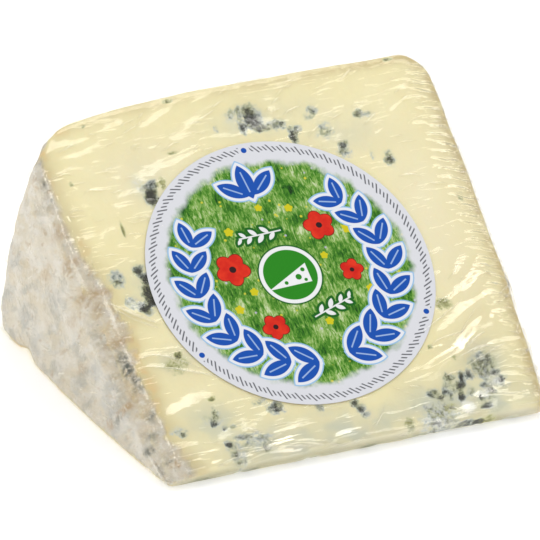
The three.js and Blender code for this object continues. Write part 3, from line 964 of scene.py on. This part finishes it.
def on_base_face(along, out):
    return np.column_stack([along, out, np.zeros(len(along))])


def on_rim(along, arc):
    turn = np.clip(arc / WHEEL_RADIUS, 0.0, SECTOR)
    return np.column_stack([along, WHEEL_RADIUS * np.cos(turn), WHEEL_RADIUS * np.sin(turn)])


def on_end(side):
    def place(out, turn):
        turn = np.radians(turn)
        x = np.full(len(out), side * WHEEL_HEIGHT / 2)
        return np.column_stack([x, out * np.cos(turn), out * np.sin(turn)])

    return place


# %% Where the gathers lie
# Each row has the face, its two ranges, how many, the heading in degrees at the start and the end of the
# second range, its spread, the lengths and the half widths.
GATHERS = [
    (on_top_face, (-45, -24), (60, 92), 26, (-10, 18), 6, (2, 7), (0.2, 0.5)),
    (on_top_face, (-22, 0), (80, 94), 12, (14, 26), 12, (2, 6), (0.2, 0.5)),
    (on_top_face, (6, 30), (80, 94), 14, (18, 30), 14, (2, 6), (0.2, 0.5)),
    (on_top_face, (28, 42), (60, 94), 12, (0, 30), 14, (2, 6), (0.2, 0.5)),
    (on_top_face, (42, 46.5), (8, 94), 44, (-26, -18), 5, (1.5, 4), (0.2, 0.4)),
    (on_top_face, (32, 48), (22, 42), 8, (36, 44), 10, (3, 12), (0.2, 0.5)),
    (on_top_face, (20, 44), (16, 36), 8, (18, 34), 10, (3, 12), (0.2, 0.5)),
    (on_top_face, (14, 50), (5, 20), 12, (-12, 0), 10, (3, 12), (0.2, 0.5)),
    (on_top_face, (-42, 16), (4, 16), 16, (4, -2), 14, (2, 9), (0.2, 0.5)),
    (on_top_face, (-47, -43), (12, 60), 16, (0, -20), 30, (1.2, 3), (0.16, 0.35)),
    (on_base_face, (-46, 46), (8, 92), 60, (10, 40), 25, (6, 20), (0.2, 0.5)),
    (on_rim, (-44, 44), (2, 56), 90, (84, 84), 18, (5, 18), (0.25, 0.6)),
    (on_end(1), (14, 94), (3, 32), 80, (0, 0), 18, (3, 12), (0.25, 0.6)),
    (on_end(-1), (24, 94), (3, 32), 50, (0, 0), 40, (1.5, 5), (0.16, 0.4)),
]
LONG_CREASES = [  # each a path over the upper cut face and its half width
    ([(-43.5, 49.5), (-39.2, 45.3), (-34, 42.1)], 0.5), ([(-43.5, 48.2), (-39.3, 44.2), (-34.5, 41)], 0.35),
    ([(-42.5, 35), (-39, 35.4), (-35, 34), (-28.5, 30)], 0.4),
    ([(-42, 33.5), (-37, 32), (-28.5, 28.5), (-25, 26.5), (-19.5, 21)], 0.4),
    ([(-30.5, 9.3), (-14.1, 8), (-4.3, 6)], 0.5), ([(-4.3, 6), (0.6, 6.4), (5.5, 10.3), (7.9, 13.5)], 0.45),
    ([(36, 16.2), (40, 16.2), (48, 12.5)], 0.5),
]
POINTS_ON_PATH = 11
PATH_INSIDE, BOX_MARGIN = 0.13, 0.15  # under the solid's face, and inside its box


# %% Gathers laid on the film
def gather_paths():
    """Every gather as points near the film's surface, with its half width."""
    random = np.random.default_rng(20)
    t = np.linspace(-0.5, 0.5, POINTS_ON_PATH)
    paths, widths = [], []
    for place, first, second, count, headings, spread, lengths, half_widths in GATHERS:
        for i in range(count):
            a = random.uniform(*first)
            b = second[0] + (second[1] - second[0]) * (i + random.uniform(0, 1)) / count
            turn = math.radians(random.normal(np.interp(b, second, headings), spread))
            size, half = random.uniform(*lengths), random.uniform(*half_widths)
            run = t * size
            side = random.normal(0, 0.05) * size * (4 * t * t) + random.normal(0, 0.03) * size * np.sin(7 * t)
            a_path = a + run * math.cos(turn) - side * math.sin(turn)
            b_path = b + run * math.sin(turn) + side * math.cos(turn)
            paths.append(place(a_path, b_path))
            widths.append(half)
    for path, half in LONG_CREASES:
        paths.append(on_top_face(*smooth_path(path, POINTS_ON_PATH).T))
        widths.append(half)
    return paths, widths


def path_mesh(name, paths, widths):
    """One mesh of loose edges for all paths, laid on the film, with each point's own facts."""
    smooth, off = settle(np.concatenate(paths))
    laid = keep_in_box(smooth + off * (relief(smooth) + sags(smooth) - PATH_INSIDE)[:, None], BOX_MARGIN)
    mesh = bpy.data.meshes.new(name)
    starts = np.arange(len(paths))[:, None] * POINTS_ON_PATH + np.arange(POINTS_ON_PATH - 1)
    edges = np.column_stack([starts.ravel(), starts.ravel() + 1])
    mesh.from_pydata(to_model(laid).tolist(), edges.tolist(), [])
    piece = add_object(name, mesh)
    give_attributes(piece, half_width=np.repeat(widths, POINTS_ON_PATH) * MM)
    direction = mesh.attributes.new("off_surface", "FLOAT_VECTOR", "POINT")
    direction.data.foreach_set("vector", off.ravel().astype(np.float32))
    return piece


# %% Trees of Geometry Nodes
class Tree(Graph):
    """A Geometry Nodes tree with named inputs."""

    def __init__(self, name, inputs):
        super().__init__(bpy.data.node_groups.new(name, "GeometryNodeTree"))
        new_socket = self.tree.interface.new_socket
        new_socket("Geometry", in_out="INPUT", socket_type="NodeSocketGeometry")
        self.identifiers = {}
        for label, (kind, value) in inputs.items():
            socket = new_socket(label, in_out="INPUT", socket_type=kind)
            socket.default_value = value
            self.identifiers[label] = socket.identifier
        new_socket("Geometry", in_out="OUTPUT", socket_type="NodeSocketGeometry")
        self.start = self.tree.nodes.new("NodeGroupInput")

    def given(self, label):
        return Wire(self, self.start.outputs[label])

    def stored(self, name, kind="FLOAT"):
        return self.node("GeometryNodeInputNamedAttribute", {"data_type": kind}, {"Name": name})

    def end(self, geometry, material):
        real = self.node("GeometryNodeRealizeInstances", sockets={"Geometry": geometry})
        coated = self.node("GeometryNodeSetMaterial", sockets={"Geometry": real, "Material": material})
        last = self.tree.nodes.new("NodeGroupOutput")
        self.tree.links.new(coated.socket, last.inputs["Geometry"])

    def grow(self, piece, name, values):
        """Runs the tree on an object and keeps the result as a plain mesh object."""
        modifier = piece.modifiers.new(name, "NODES")
        modifier.node_group = self.tree
        for label, value in values.items():
            modifier[self.identifiers[label]] = value
        evaluated = piece.evaluated_get(bpy.context.evaluated_depsgraph_get())
        mesh = bpy.data.meshes.new_from_object(evaluated)
        bpy.data.objects.remove(piece)
        mesh.name = name
        print(f"{name}: {len(mesh.vertices)} points, {len(mesh.polygons)} faces")
        return add_object(name, mesh)


# %% A low ridge along each path
def ridge_tree(material):
    tree = Tree("ridges_on_paths", {
        "Sides": ("NodeSocketInt", 10), "Height": ("NodeSocketFloat", 0.4), "Depth": ("NodeSocketFloat", 1.2),
    })
    curves = tree.node("GeometryNodeMeshToCurve", sockets={"Mesh": tree.given("Geometry")})
    off = tree.stored("off_surface", "FLOAT_VECTOR")
    curves = tree.node("GeometryNodeSetCurveNormal", {"mode": "FREE"}, {"Curve": curves, "Normal": off})
    taper = (tree.node("GeometryNodeSplineParameter", output="Factor") * math.pi).apply("SINE")
    width = tree.stored("half_width") * (taper**0.7).at_least(0.03)
    sockets = {"Resolution": tree.given("Sides"), "Radius": 1.0}
    ring = tree.node("GeometryNodeCurvePrimitiveCircle", sockets=sockets)
    x, y = (tree.part(axis, tree.node("GeometryNodeInputPosition")) for axis in "XY")
    height = y.at_least(0.0) * tree.given("Height") + y.at_most(0.0) * tree.given("Depth")
    flat_ring = tree.node("ShaderNodeCombineXYZ", sockets={"X": x, "Y": height})
    lens = tree.node("GeometryNodeSetPosition", sockets={"Geometry": ring, "Position": flat_ring})
    ridges = tree.node("GeometryNodeCurveToMesh", sockets={
        "Curve": curves, "Profile Curve": lens, "Scale": width, "Fill Caps": True,
    })
    tree.end(tree.node("GeometryNodeSetShadeSmooth", sockets={"Geometry": ridges}), material)
    return tree


gather_base = path_mesh("gather_paths", *gather_paths())
gather_tree = ridge_tree(film_finish("gathered_film", mirror=2.2, haze=0.02, roughness=0.14))
gathers = gather_tree.grow(gather_base, "film_gathers", {"Sides": 12, "Height": 0.42, "Depth": 1.3})


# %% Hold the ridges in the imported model's box
places = np.empty(3 * len(gathers.data.vertices), dtype=np.float32)
gathers.data.vertices.foreach_get("co", places)
held = np.clip(places.reshape(-1, 3), model_low * MM, model_high * MM)
gathers.data.vertices.foreach_set("co", held.ravel())
gathers.data.update()
print(int((held != places.reshape(-1, 3)).any(axis=1).sum()), "points held in the box")

# %% [markdown]
# ## Tufts of mould
# In the thick of the growth the mould stands up in tiny tufts. Geometry Nodes scatter small grains over the
# cheese, where the stored growth is strong, and turn each one at random.

# %% Grains where the mould is strong
def tuft_finish():
    f = Finish("mould_tufts")
    patch = f.noise(1.5, 2.0, seed=41.0)
    colour = f.ramp(patch, (0.3, (34, 37, 34)), (0.5, (74, 79, 70)), (0.68, (158, 163, 152)))
    return f.surface("ShaderNodeBsdfPrincipled", {
        "Base Color": colour, "Roughness": 0.9, "Specular IOR Level": 0.1,
    })


def tuft_tree(material):
    tree = Tree("tufts_where_mould_is", {
        "Tufts per square metre": ("NodeSocketFloat", 1.0e6),
        "Smallest": ("NodeSocketFloat", 0.05 * MM), "Largest": ("NodeSocketFloat", 0.18 * MM),
        "Seed": ("NodeSocketInt", 7),
    })
    density = tree.stored("mould").between(0.6, 1.0) * tree.given("Tufts per square metre")
    places = tree.node("GeometryNodeDistributePointsOnFaces", sockets={
        "Mesh": tree.given("Geometry"), "Density": density, "Seed": tree.given("Seed"),
    })
    ball = tree.node("GeometryNodeMeshIcoSphere", sockets={"Radius": 1.0, "Subdivisions": 1})
    size = tree.node("FunctionNodeRandomValue", {"data_type": "FLOAT"}, {
        2: tree.given("Smallest"), 3: tree.given("Largest"), "Seed": tree.given("Seed"),
    }, 1)
    full_turns = {1: (6.28, 6.28, 6.28), "Seed": 3}
    turn = tree.node("FunctionNodeRandomValue", {"data_type": "FLOAT_VECTOR"}, full_turns)
    tree.end(tree.node("GeometryNodeInstanceOnPoints", sockets={
        "Points": places, "Instance": ball, "Scale": size, "Rotation": turn,
    }), material)
    return tree


tuft_base = add_object("tuft_base", cheese.data.copy())
tufts = tuft_tree(tuft_finish()).grow(tuft_base, "mould_tufts", {"Tufts per square metre": 8.0e6})

# %% [markdown]
# ## The sticker
# The sticker is a thin disc of printed paper on the film. It follows the film's slight swell, so it is built
# as rings of points over the upper cut face, with a real thickness. Its print is a generic one: a meadow with
# blossoms, a laurel wreath in blue and a slice of cheese in the middle, with no words.

# %% Sticker mesh
STICKER_LIFT, STICKER_THICKNESS, STICKER_SWELL = 0.04, 0.1, 0.05
RINGS, SPOKES = 36, 180


def sticker_mesh():
    shares = np.sin(np.linspace(0, math.pi / 2, RINGS + 1))[1:]
    turns = np.arange(SPOKES) * 2 * math.pi / SPOKES
    along = np.append(STICKER_RADIUS * np.outer(shares, np.cos(turns)), 0.0)
    out = np.append(STICKER_RADIUS * np.outer(shares, np.sin(turns)), 0.0)
    height = STICKER_LIFT + STICKER_SWELL * streaks_at(along, out, 10, 22, 12, 6)
    plane = np.column_stack([along + STICKER_ALONG, (out + STICKER_OUT)[:, None] * top_out[1:]])
    top = plane + (height + STICKER_THICKNESS)[:, None] * top_normal
    bottom = plane + height[:, None] * top_normal
    ring, centre, count = np.arange(SPOKES), RINGS * SPOKES, len(plane)
    following = (ring + 1) % SPOKES
    faces = []
    for i in range(RINGS - 1):
        a, b = i * SPOKES, (i + 1) * SPOKES
        faces += np.stack([a + ring, b + ring, b + following, a + following], axis=1).tolist()
    faces += np.stack([np.full(SPOKES, centre), ring, following], axis=1).tolist()
    below = [[count + corner for corner in reversed(face)] for face in faces]
    rim, rim_next = (RINGS - 1) * SPOKES + ring, (RINGS - 1) * SPOKES + following
    side = np.stack([rim, count + rim, count + rim_next, rim_next], axis=1).tolist()
    piece = make_piece("sticker", np.concatenate([top, bottom]), faces + below + side)
    flat = np.tile(np.column_stack([along, out]), (2, 1)) / (2 * STICKER_RADIUS) + 0.5
    corners = np.array([loop.vertex_index for loop in piece.data.loops])
    piece.data.uv_layers.new(name="print").data.foreach_set("uv", flat[corners].ravel())
    return piece


sticker = sticker_mesh()

# %% [markdown]
# ## The print
# The print is made of signed distances in millimetres: a shape is where its distance is below zero. Shapes
# join by the smaller distance and cut each other by the larger one, and a soft step gives a printed edge.

# %% Shapes of the print
EDGE = 0.07  # softness of a printed edge, in millimetres
PETALS = 5


def inside(distance):
    """1 where a signed distance is below 0, with a soft edge."""
    return 1 - distance.between(-EDGE, EDGE)


def hypot(x, y):
    return (x * x + y * y).apply("SQRT")


def turned(x, y, centre, degrees):
    """Coordinates about a centre, turned back by an angle."""
    c, s = math.cos(math.radians(degrees)), math.sin(math.radians(degrees))
    dx, dy = x - centre[0], y - centre[1]
    return dx * c + dy * s, dy * c - dx * s


def petal_distance(across, outward, half_width, half_length):
    """A pointed oval, where two circles cross."""
    spread = half_length**2 / half_width
    radius, offset = (spread + half_width) / 2, (spread - half_width) / 2
    return hypot(across.apply("ABSOLUTE") + offset, outward) - radius


def blossom_distance(x, y, centre, size, turn=0.0):
    dx, dy = x - centre[0], y - centre[1]
    wave = ((dy.angle_with(dx) + turn) * (PETALS / 2)).apply("COSINE").apply("ABSOLUTE")
    return hypot(dx, dy) - (0.72 + 0.28 * wave) * size


STEM_HALF_LENGTH, STEM_HALF_WIDTH, LEAF_TILT = 5.0, 0.16, 46
SPRIG_LEAVES = ((-3.4, 1.2), (-2.2, 1.25), (-0.8, 1.3), (0.6, 1.2), (2.0, 1.1), (3.2, 1.0), (4.4, 0.9))


def sprig_distance(x, y):
    """A stem with leaves to either side in turn, each given as its place on the stem and its half length."""
    stem = (y.apply("ABSOLUTE") - STEM_HALF_WIDTH).at_least(x.apply("ABSOLUTE") - STEM_HALF_LENGTH)
    for i, (place, size) in enumerate(SPRIG_LEAVES):
        tilt = LEAF_TILT * (-1) ** i
        middle = (place + size * math.cos(math.radians(tilt)), size * math.sin(math.radians(tilt)))
        leaf_x, leaf_y = turned(x, y, middle, tilt)
        stem = stem.at_most(petal_distance(leaf_y, leaf_x, size * 0.42, size))
    return stem


# %% Wreath of laurel
BRANCH_RADIUS = 22.2
LEAF_PAIRS, LOWEST_PAIR, PAIR_STEP = 8, -80, 16.2  # angles in degrees round the print
LEAF_LEANS = (-35, 37)  # how the two leaves of a pair lean off the branch
LEAF_HALF, LEAF_SHRINK = 3.75, 0.07  # a leaf's half length, and how much less it is in each next pair
LEAF_SLENDERNESS, VEIN_HALF, VEIN_REACH = 0.44, 0.16, 0.6
TIP_LEAVES = [((0.0, 23.2), 90, 4.3), ((3.6, 22.0), 38, 3.7)]


def laurel_leaves():
    """The right half of a wreath, as the middle, the heading and the half length of each leaf."""
    leaves = list(TIP_LEAVES)
    for i in range(LEAF_PAIRS):
        angle = LOWEST_PAIR + PAIR_STEP * i
        for lean in LEAF_LEANS:
            heading, half = angle + 90 + lean, LEAF_HALF - LEAF_SHRINK * i
            middle = [
                BRANCH_RADIUS * ratio(math.radians(angle)) + 0.95 * half * ratio(math.radians(heading))
                for ratio in (math.cos, math.sin)
            ]
            leaves.append((middle, heading, half))
    return leaves


def wreath(x, y):
    """Signed distances to the leaves of the wreath and to the pale veins in them."""
    right = x.apply("ABSOLUTE")
    all_leaves, all_veins = None, None
    for middle, heading, half in laurel_leaves():
        lengthwise, across = turned(right, y, middle, heading)
        leaf = petal_distance(across, lengthwise, half * LEAF_SLENDERNESS, half)
        past_vein = lengthwise.apply("ABSOLUTE") - half * VEIN_REACH
        vein = (across.apply("ABSOLUTE") - VEIN_HALF).at_least(past_vein)
        all_leaves = all_leaves.at_most(leaf) if all_leaves else leaf
        all_veins = all_veins.at_most(vein) if all_veins else vein
    return all_leaves, all_veins


# %% Ground of the print
PAPER, WHITE = paint(218, 219, 224), paint(236, 237, 238)
BLUE, PALE_BLUE = paint(12, 78, 172), paint(150, 190, 226)
RED, BRIGHT_RED, DARK_RED = paint(205, 26, 10), paint(226, 52, 22), paint(112, 10, 4)
YELLOW, EYE, BAR_GREY = paint(206, 196, 22), paint(44, 14, 18), paint(40, 42, 54)
SPRIG_WHITE, LEAF_WHITE, VEIN_BLUE = paint(232, 233, 234), paint(228, 230, 236), paint(170, 196, 232)
DEEP_GREEN, FRESH_GREEN = paint(16, 96, 16), paint(34, 132, 18)


def meadow(f, flat):
    """Grass: short upright strokes from deep to pale green, with specks of small flowers."""
    blades = f.mapped(flat, Scale=(1.0, 0.3, 1.0), Rotation=(0, 0, 0.12))
    stroke = f.noise(0.011 / MM, 4.0, vector=blades, roughness=0.75, distortion=1.2)
    clump = f.noise(0.07 / MM, 3.0, vector=flat, seed=4.0)
    grass = f.ramp(
        stroke * 0.7 + clump * 0.5, (0.42, (10, 44, 6)), (0.5, (34, 98, 14)), (0.58, (76, 136, 34)),
        (0.66, (138, 176, 88)), (0.76, (206, 218, 176)),
    )
    cells = {"Vector": flat, "Scale": 34.0, "Randomness": 1.0}
    speck = f.node("ShaderNodeTexVoronoi", sockets=cells)
    hue = f.node("ShaderNodeTexVoronoi", sockets=cells, output="Color")
    pick = f.node("ShaderNodeSeparateColor", sockets={0: hue})
    yellow = (1 - speck.between(0.1, 0.22)) * pick.between(0.6, 0.62)
    lilac = (1 - speck.between(0.08, 0.2)) * (1 - pick.between(0.14, 0.16))
    return f.coats(grass, (yellow * 0.9, (214, 205, 60)), (lilac * 0.8, (196, 190, 214)))


# %% Flowers, sprigs and a slice of cheese
YELLOW_FLOWERS = [  # middles and sizes
    ((-9, 13), 1.1), ((6.5, 14.5), 1.0), ((17, 6), 1.3), ((-16, 10), 0.9), ((-15, -5), 1.1),
    ((3, -13.5), 1.0), ((15.5, -9), 1.1), ((9, 1.5), 0.9), ((-10, -2), 1.0), ((0, 16.5), 0.9),
]
RED_FLOWERS = [  # middles, sizes and turns
    ((-12.2, 4.4), 3.9, 0.4), ((11.2, 8.6), 3.5, 0.9), ((13.4, -3.6), 2.6, 0.1), ((-9.2, -11.2), 3.0, 0.6),
]
SPRIGS = [((-2.6, 10.4), 176), ((5.2, -10.6), 12)]  # middles and headings
BADGE_MIDDLE, BADGE_TURN, BADGE_RADIUS, BADGE_WHITE, BADGE_LINE = (-0.4, -0.6), -4, 7.0, 0.9, 0.35
# The slice in the badge: its back, its foot, where its top is how high, and how steeply the top falls.
SLICE_BACK, SLICE_FOOT, SLICE_TOP_PLACE, SLICE_TOP, SLICE_FALL = 4.2, 2.6, 4.0, 1.9, 0.45
HOLES = [(1.6, -0.9, 0.7), (-1.6, -1.7, 0.45), (3.1, 0.6, 0.5), (3.0, -1.9, 0.4)]  # middles and radii


def laid_on(f, colour, distance, fill, edge, rim):
    """A flat shape over a colour, with an edge line round it."""
    return f.mix(inside(distance), f.mix(inside(distance - rim), colour, edge), fill)


def with_flowers(f, colour, x, y, flat):
    for centre, size in YELLOW_FLOWERS:
        colour = f.mix(inside(blossom_distance(x, y, centre, size)), colour, YELLOW)
    shade = f.noise(0.05 / MM, 3.0, vector=flat, seed=12.0).between(0.35, 0.65)
    petals = f.mix(shade, RED, BRIGHT_RED)
    for centre, size, lean in RED_FLOWERS:
        blossom = blossom_distance(x, y, centre, size, lean)
        colour = laid_on(f, colour, blossom, petals, DARK_RED, 0.2)
        colour = f.mix(inside(hypot(x - centre[0], y - centre[1]) - size * 0.2), colour, EYE)
    for middle, heading in SPRIGS:
        sprig = sprig_distance(*turned(x, y, middle, heading))
        colour = laid_on(f, colour, sprig, SPRIG_WHITE, DEEP_GREEN, 0.6)
    return colour


def with_badge(f, colour, x, y):
    x, y = turned(x, y, BADGE_MIDDLE, BADGE_TURN)
    disc = hypot(x, y) - BADGE_RADIUS
    colour = laid_on(f, colour, disc, WHITE, DEEP_GREEN, BADGE_LINE)
    colour = f.mix(inside(disc + BADGE_WHITE), colour, FRESH_GREEN)
    over_top = y - SLICE_TOP + (SLICE_TOP_PLACE - x) * SLICE_FALL
    slice_face = (x - SLICE_BACK).at_least(-y - SLICE_FOOT).at_least(over_top)
    for across, up, size in HOLES:
        slice_face = slice_face.at_least(size - hypot(x - across, y - up))
    return f.mix(inside(slice_face), colour, WHITE)


# %% Rim of the print
MEADOW_RADIUS, BAND_RADIUS, BAND_BARS = 29.0, 30.6, 180
BAR_HALF_WIDTH, BAR_HALF_LENGTH, BAR_SHORTENED, BAR_SLANT = 0.2, 0.9, 0.4, 0.028
DOT_ANGLES, DOT_RADIUS, DOT_CLEARING = (84, 204, 324), 0.65, 1.4


def with_rim(f, colour, x, y):
    """A white rim with a band of short slanting bars, every third one shorter, and three dots."""
    radius = hypot(x, y)
    colour = f.mix(inside(MEADOW_RADIUS - radius), colour, PAPER)
    twist = y.angle_with(x) - (radius - BAND_RADIUS) * BAR_SLANT
    pitch = 2 * math.pi / BAND_BARS
    across = radius * (twist.modulo(pitch) - pitch / 2)
    shorter = (twist.modulo(3 * pitch) - pitch).between(-0.001, 0.001) * BAR_SHORTENED
    past_tip = (radius - BAND_RADIUS).apply("ABSOLUTE") - (BAR_HALF_LENGTH - shorter)
    bars_of_band = (across.apply("ABSOLUTE") - BAR_HALF_WIDTH).at_least(past_tip)
    colour = f.mix(inside(bars_of_band) * 0.85, colour, BAR_GREY)
    for angle in DOT_ANGLES:
        c, s = math.cos(math.radians(angle)), math.sin(math.radians(angle))
        gap = hypot(x - BAND_RADIUS * c, y - BAND_RADIUS * s)
        colour = f.mix(inside(gap - DOT_RADIUS), f.mix(inside(gap - DOT_CLEARING), colour, PAPER), BLUE)
    return colour


# %% The whole print
MEADOW_FADES = (26.2, 28.4)  # radii between which the meadow gives way to paper
OUTER_LINE, INNER_LINE = 0.95, 0.65  # how far two lines round the leaves reach
PRINT_TURN = 6


def print_colour(f):
    flat = f.coordinates("UV")
    x, y = ((f.part(axis, flat) - 0.5) * (2 * STICKER_RADIUS) for axis in "XY")
    x, y = turned(x, y, (0, 0), PRINT_TURN)
    ragged = f.noise(0.06 / MM, 4.0, vector=flat, seed=9.0) - 0.5
    field = 1 - (hypot(x, y) + ragged * 5.0).between(*MEADOW_FADES)
    colour = f.mix(field, PAPER, meadow(f, flat))
    colour = with_badge(f, with_flowers(f, colour, x, y, flat), x, y)
    leaves, veins = wreath(x, y)
    for wider, ink in ((OUTER_LINE, PALE_BLUE), (INNER_LINE, LEAF_WHITE), (0.0, BLUE)):
        colour = f.mix(inside(leaves - wider), colour, ink)
    colour = f.mix(inside(veins) * 0.8, colour, VEIN_BLUE)
    return with_rim(f, colour, x, y)


def sticker_finish():
    f = Finish("printed_sticker")
    return f.surface("ShaderNodeBsdfPrincipled", {
        "Base Color": print_colour(f), "Roughness": 0.5, "Specular IOR Level": 0.15,
        "Normal": f.bump(f.noise(0.5, 2.0), 0.02),
    })


sticker.data.materials.append(sticker_finish())

# %% [markdown]
# ## Stage, light and camera
# A pale floor, a bright even sky and six soft lights. The lights are where a tight film mirrors them only
# from the slopes of its wrinkles, so the faces stay clear and the wrinkles sparkle.

# %% Floor and light
def glowing_floor():
    """Pale and faintly lit from below, as a light table is, so that shadows stay soft."""
    return Finish("floor").surface("ShaderNodeBsdfPrincipled", {
        "Base Color": paint(220, 220, 220), "Roughness": 0.8, "Specular IOR Level": 0.1,
        "Emission Color": (1.0, 1.0, 1.0, 1.0), "Emission Strength": 0.5,
    })


FLOOR_HALF, FLOOR_DROP = 4.0, 0.0001
SKY_STRENGTH = 0.71

floor_corners = ((-1, -1), (1, -1), (1, 1), (-1, 1))
floor_points = [(x * FLOOR_HALF, y * FLOOR_HALF, -FLOOR_DROP) for x, y in floor_corners]
floor_mesh = bpy.data.meshes.new("floor")
floor_mesh.from_pydata(floor_points, [], [(0, 1, 2, 3)])
floor_mesh.materials.append(glowing_floor())
floor = add_object("floor", floor_mesh)

world = bpy.data.worlds.new("studio")
world.use_nodes = True
sky = world.node_tree.nodes["Background"].inputs
sky["Color"].default_value, sky["Strength"].default_value = (1.0, 1.0, 1.0, 1.0), SKY_STRENGTH
bpy.context.scene.world = world
bpy.context.scene.view_settings.view_transform = "Standard"

# %% Soft lights
LIGHT_DISTANCE = 1.0
LIGHTS = {  # the direction from the wedge's middle, the width in metres and the power in watts
    "window": ((0.2, 0.13, 0.97), 0.38, 1.6), "key": ((-0.32, -0.2, 0.93), 0.26, 0.6),
    "back": ((0.43, 0.45, 0.79), 0.5, 1.35), "front": ((0.38, -0.75, 0.55), 0.34, 0.5),
    "left": ((-0.95, -0.3, 0.4), 0.35, 0.6), "rear": ((0.3, 0.9, 0.5), 0.3, 0.6),
}
middle = Vector((cad_box[0][i] + cad_box[1][i]) / 2 for i in range(3))
for name, (direction, width, power) in LIGHTS.items():
    data = bpy.data.lights.new(name, "AREA")
    data.size, data.energy = width, power
    light = add_object(name, data)
    light.location = middle + Vector(direction).normalized() * LIGHT_DISTANCE
    light.rotation_mode = "QUATERNION"
    light.rotation_quaternion = Vector(direction).to_track_quat("Z", "Y")

# %% Camera
VIEW_TURN, VIEW_RISE, VIEW_ROLL = math.radians(-25.48), math.radians(26.95), math.radians(1.28)
DISTANCE = 2.0  # a long lens from two metres
PICTURE, SENSOR = 540, 36.0  # pixels and millimetres across
PIXELS_PER_MM = 4.636
AIM = np.array([0.0, 48.0, 20.0])  # a point in the wheel's frame
AIM_RIGHT, AIM_UP = -2.067, 3.898  # from there to the middle of the picture, in millimetres

level = math.cos(VIEW_RISE)
back = Vector((math.sin(VIEW_TURN) * level, -math.cos(VIEW_TURN) * level, math.sin(VIEW_RISE)))
right = Vector((math.cos(VIEW_TURN), math.sin(VIEW_TURN), 0.0))
up = back.cross(right)
roll_c, roll_s = math.cos(VIEW_ROLL), math.sin(VIEW_ROLL)
right, up = right * roll_c + up * roll_s, up * roll_c - right * roll_s
camera_data = bpy.data.cameras.new("camera")
camera_data.sensor_width = SENSOR
camera_data.lens = PIXELS_PER_MM * DISTANCE / MM * SENSOR / PICTURE
camera_data.clip_end = 20.0
camera = add_object("camera", camera_data)
target = Vector(to_model(AIM)) + right * AIM_RIGHT * MM + up * AIM_UP * MM
camera.rotation_mode = "QUATERNION"
camera.rotation_quaternion = Matrix((right, up, back)).transposed().to_quaternion()
camera.location = target + back * DISTANCE
bpy.context.scene.camera = camera

# %% [markdown]
# ## What each piece stands for
# Each piece is tied to the body that carries it, and the solid whose place it takes is hidden.
# The floor is no part of the object.

# %% Tie each piece to its body and hide the solids that it replaces
for piece in (cheese, film, gathers, tufts):
    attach(piece, "root")
    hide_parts("wrapped_cheese")
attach(sticker, "root")
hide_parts("label")
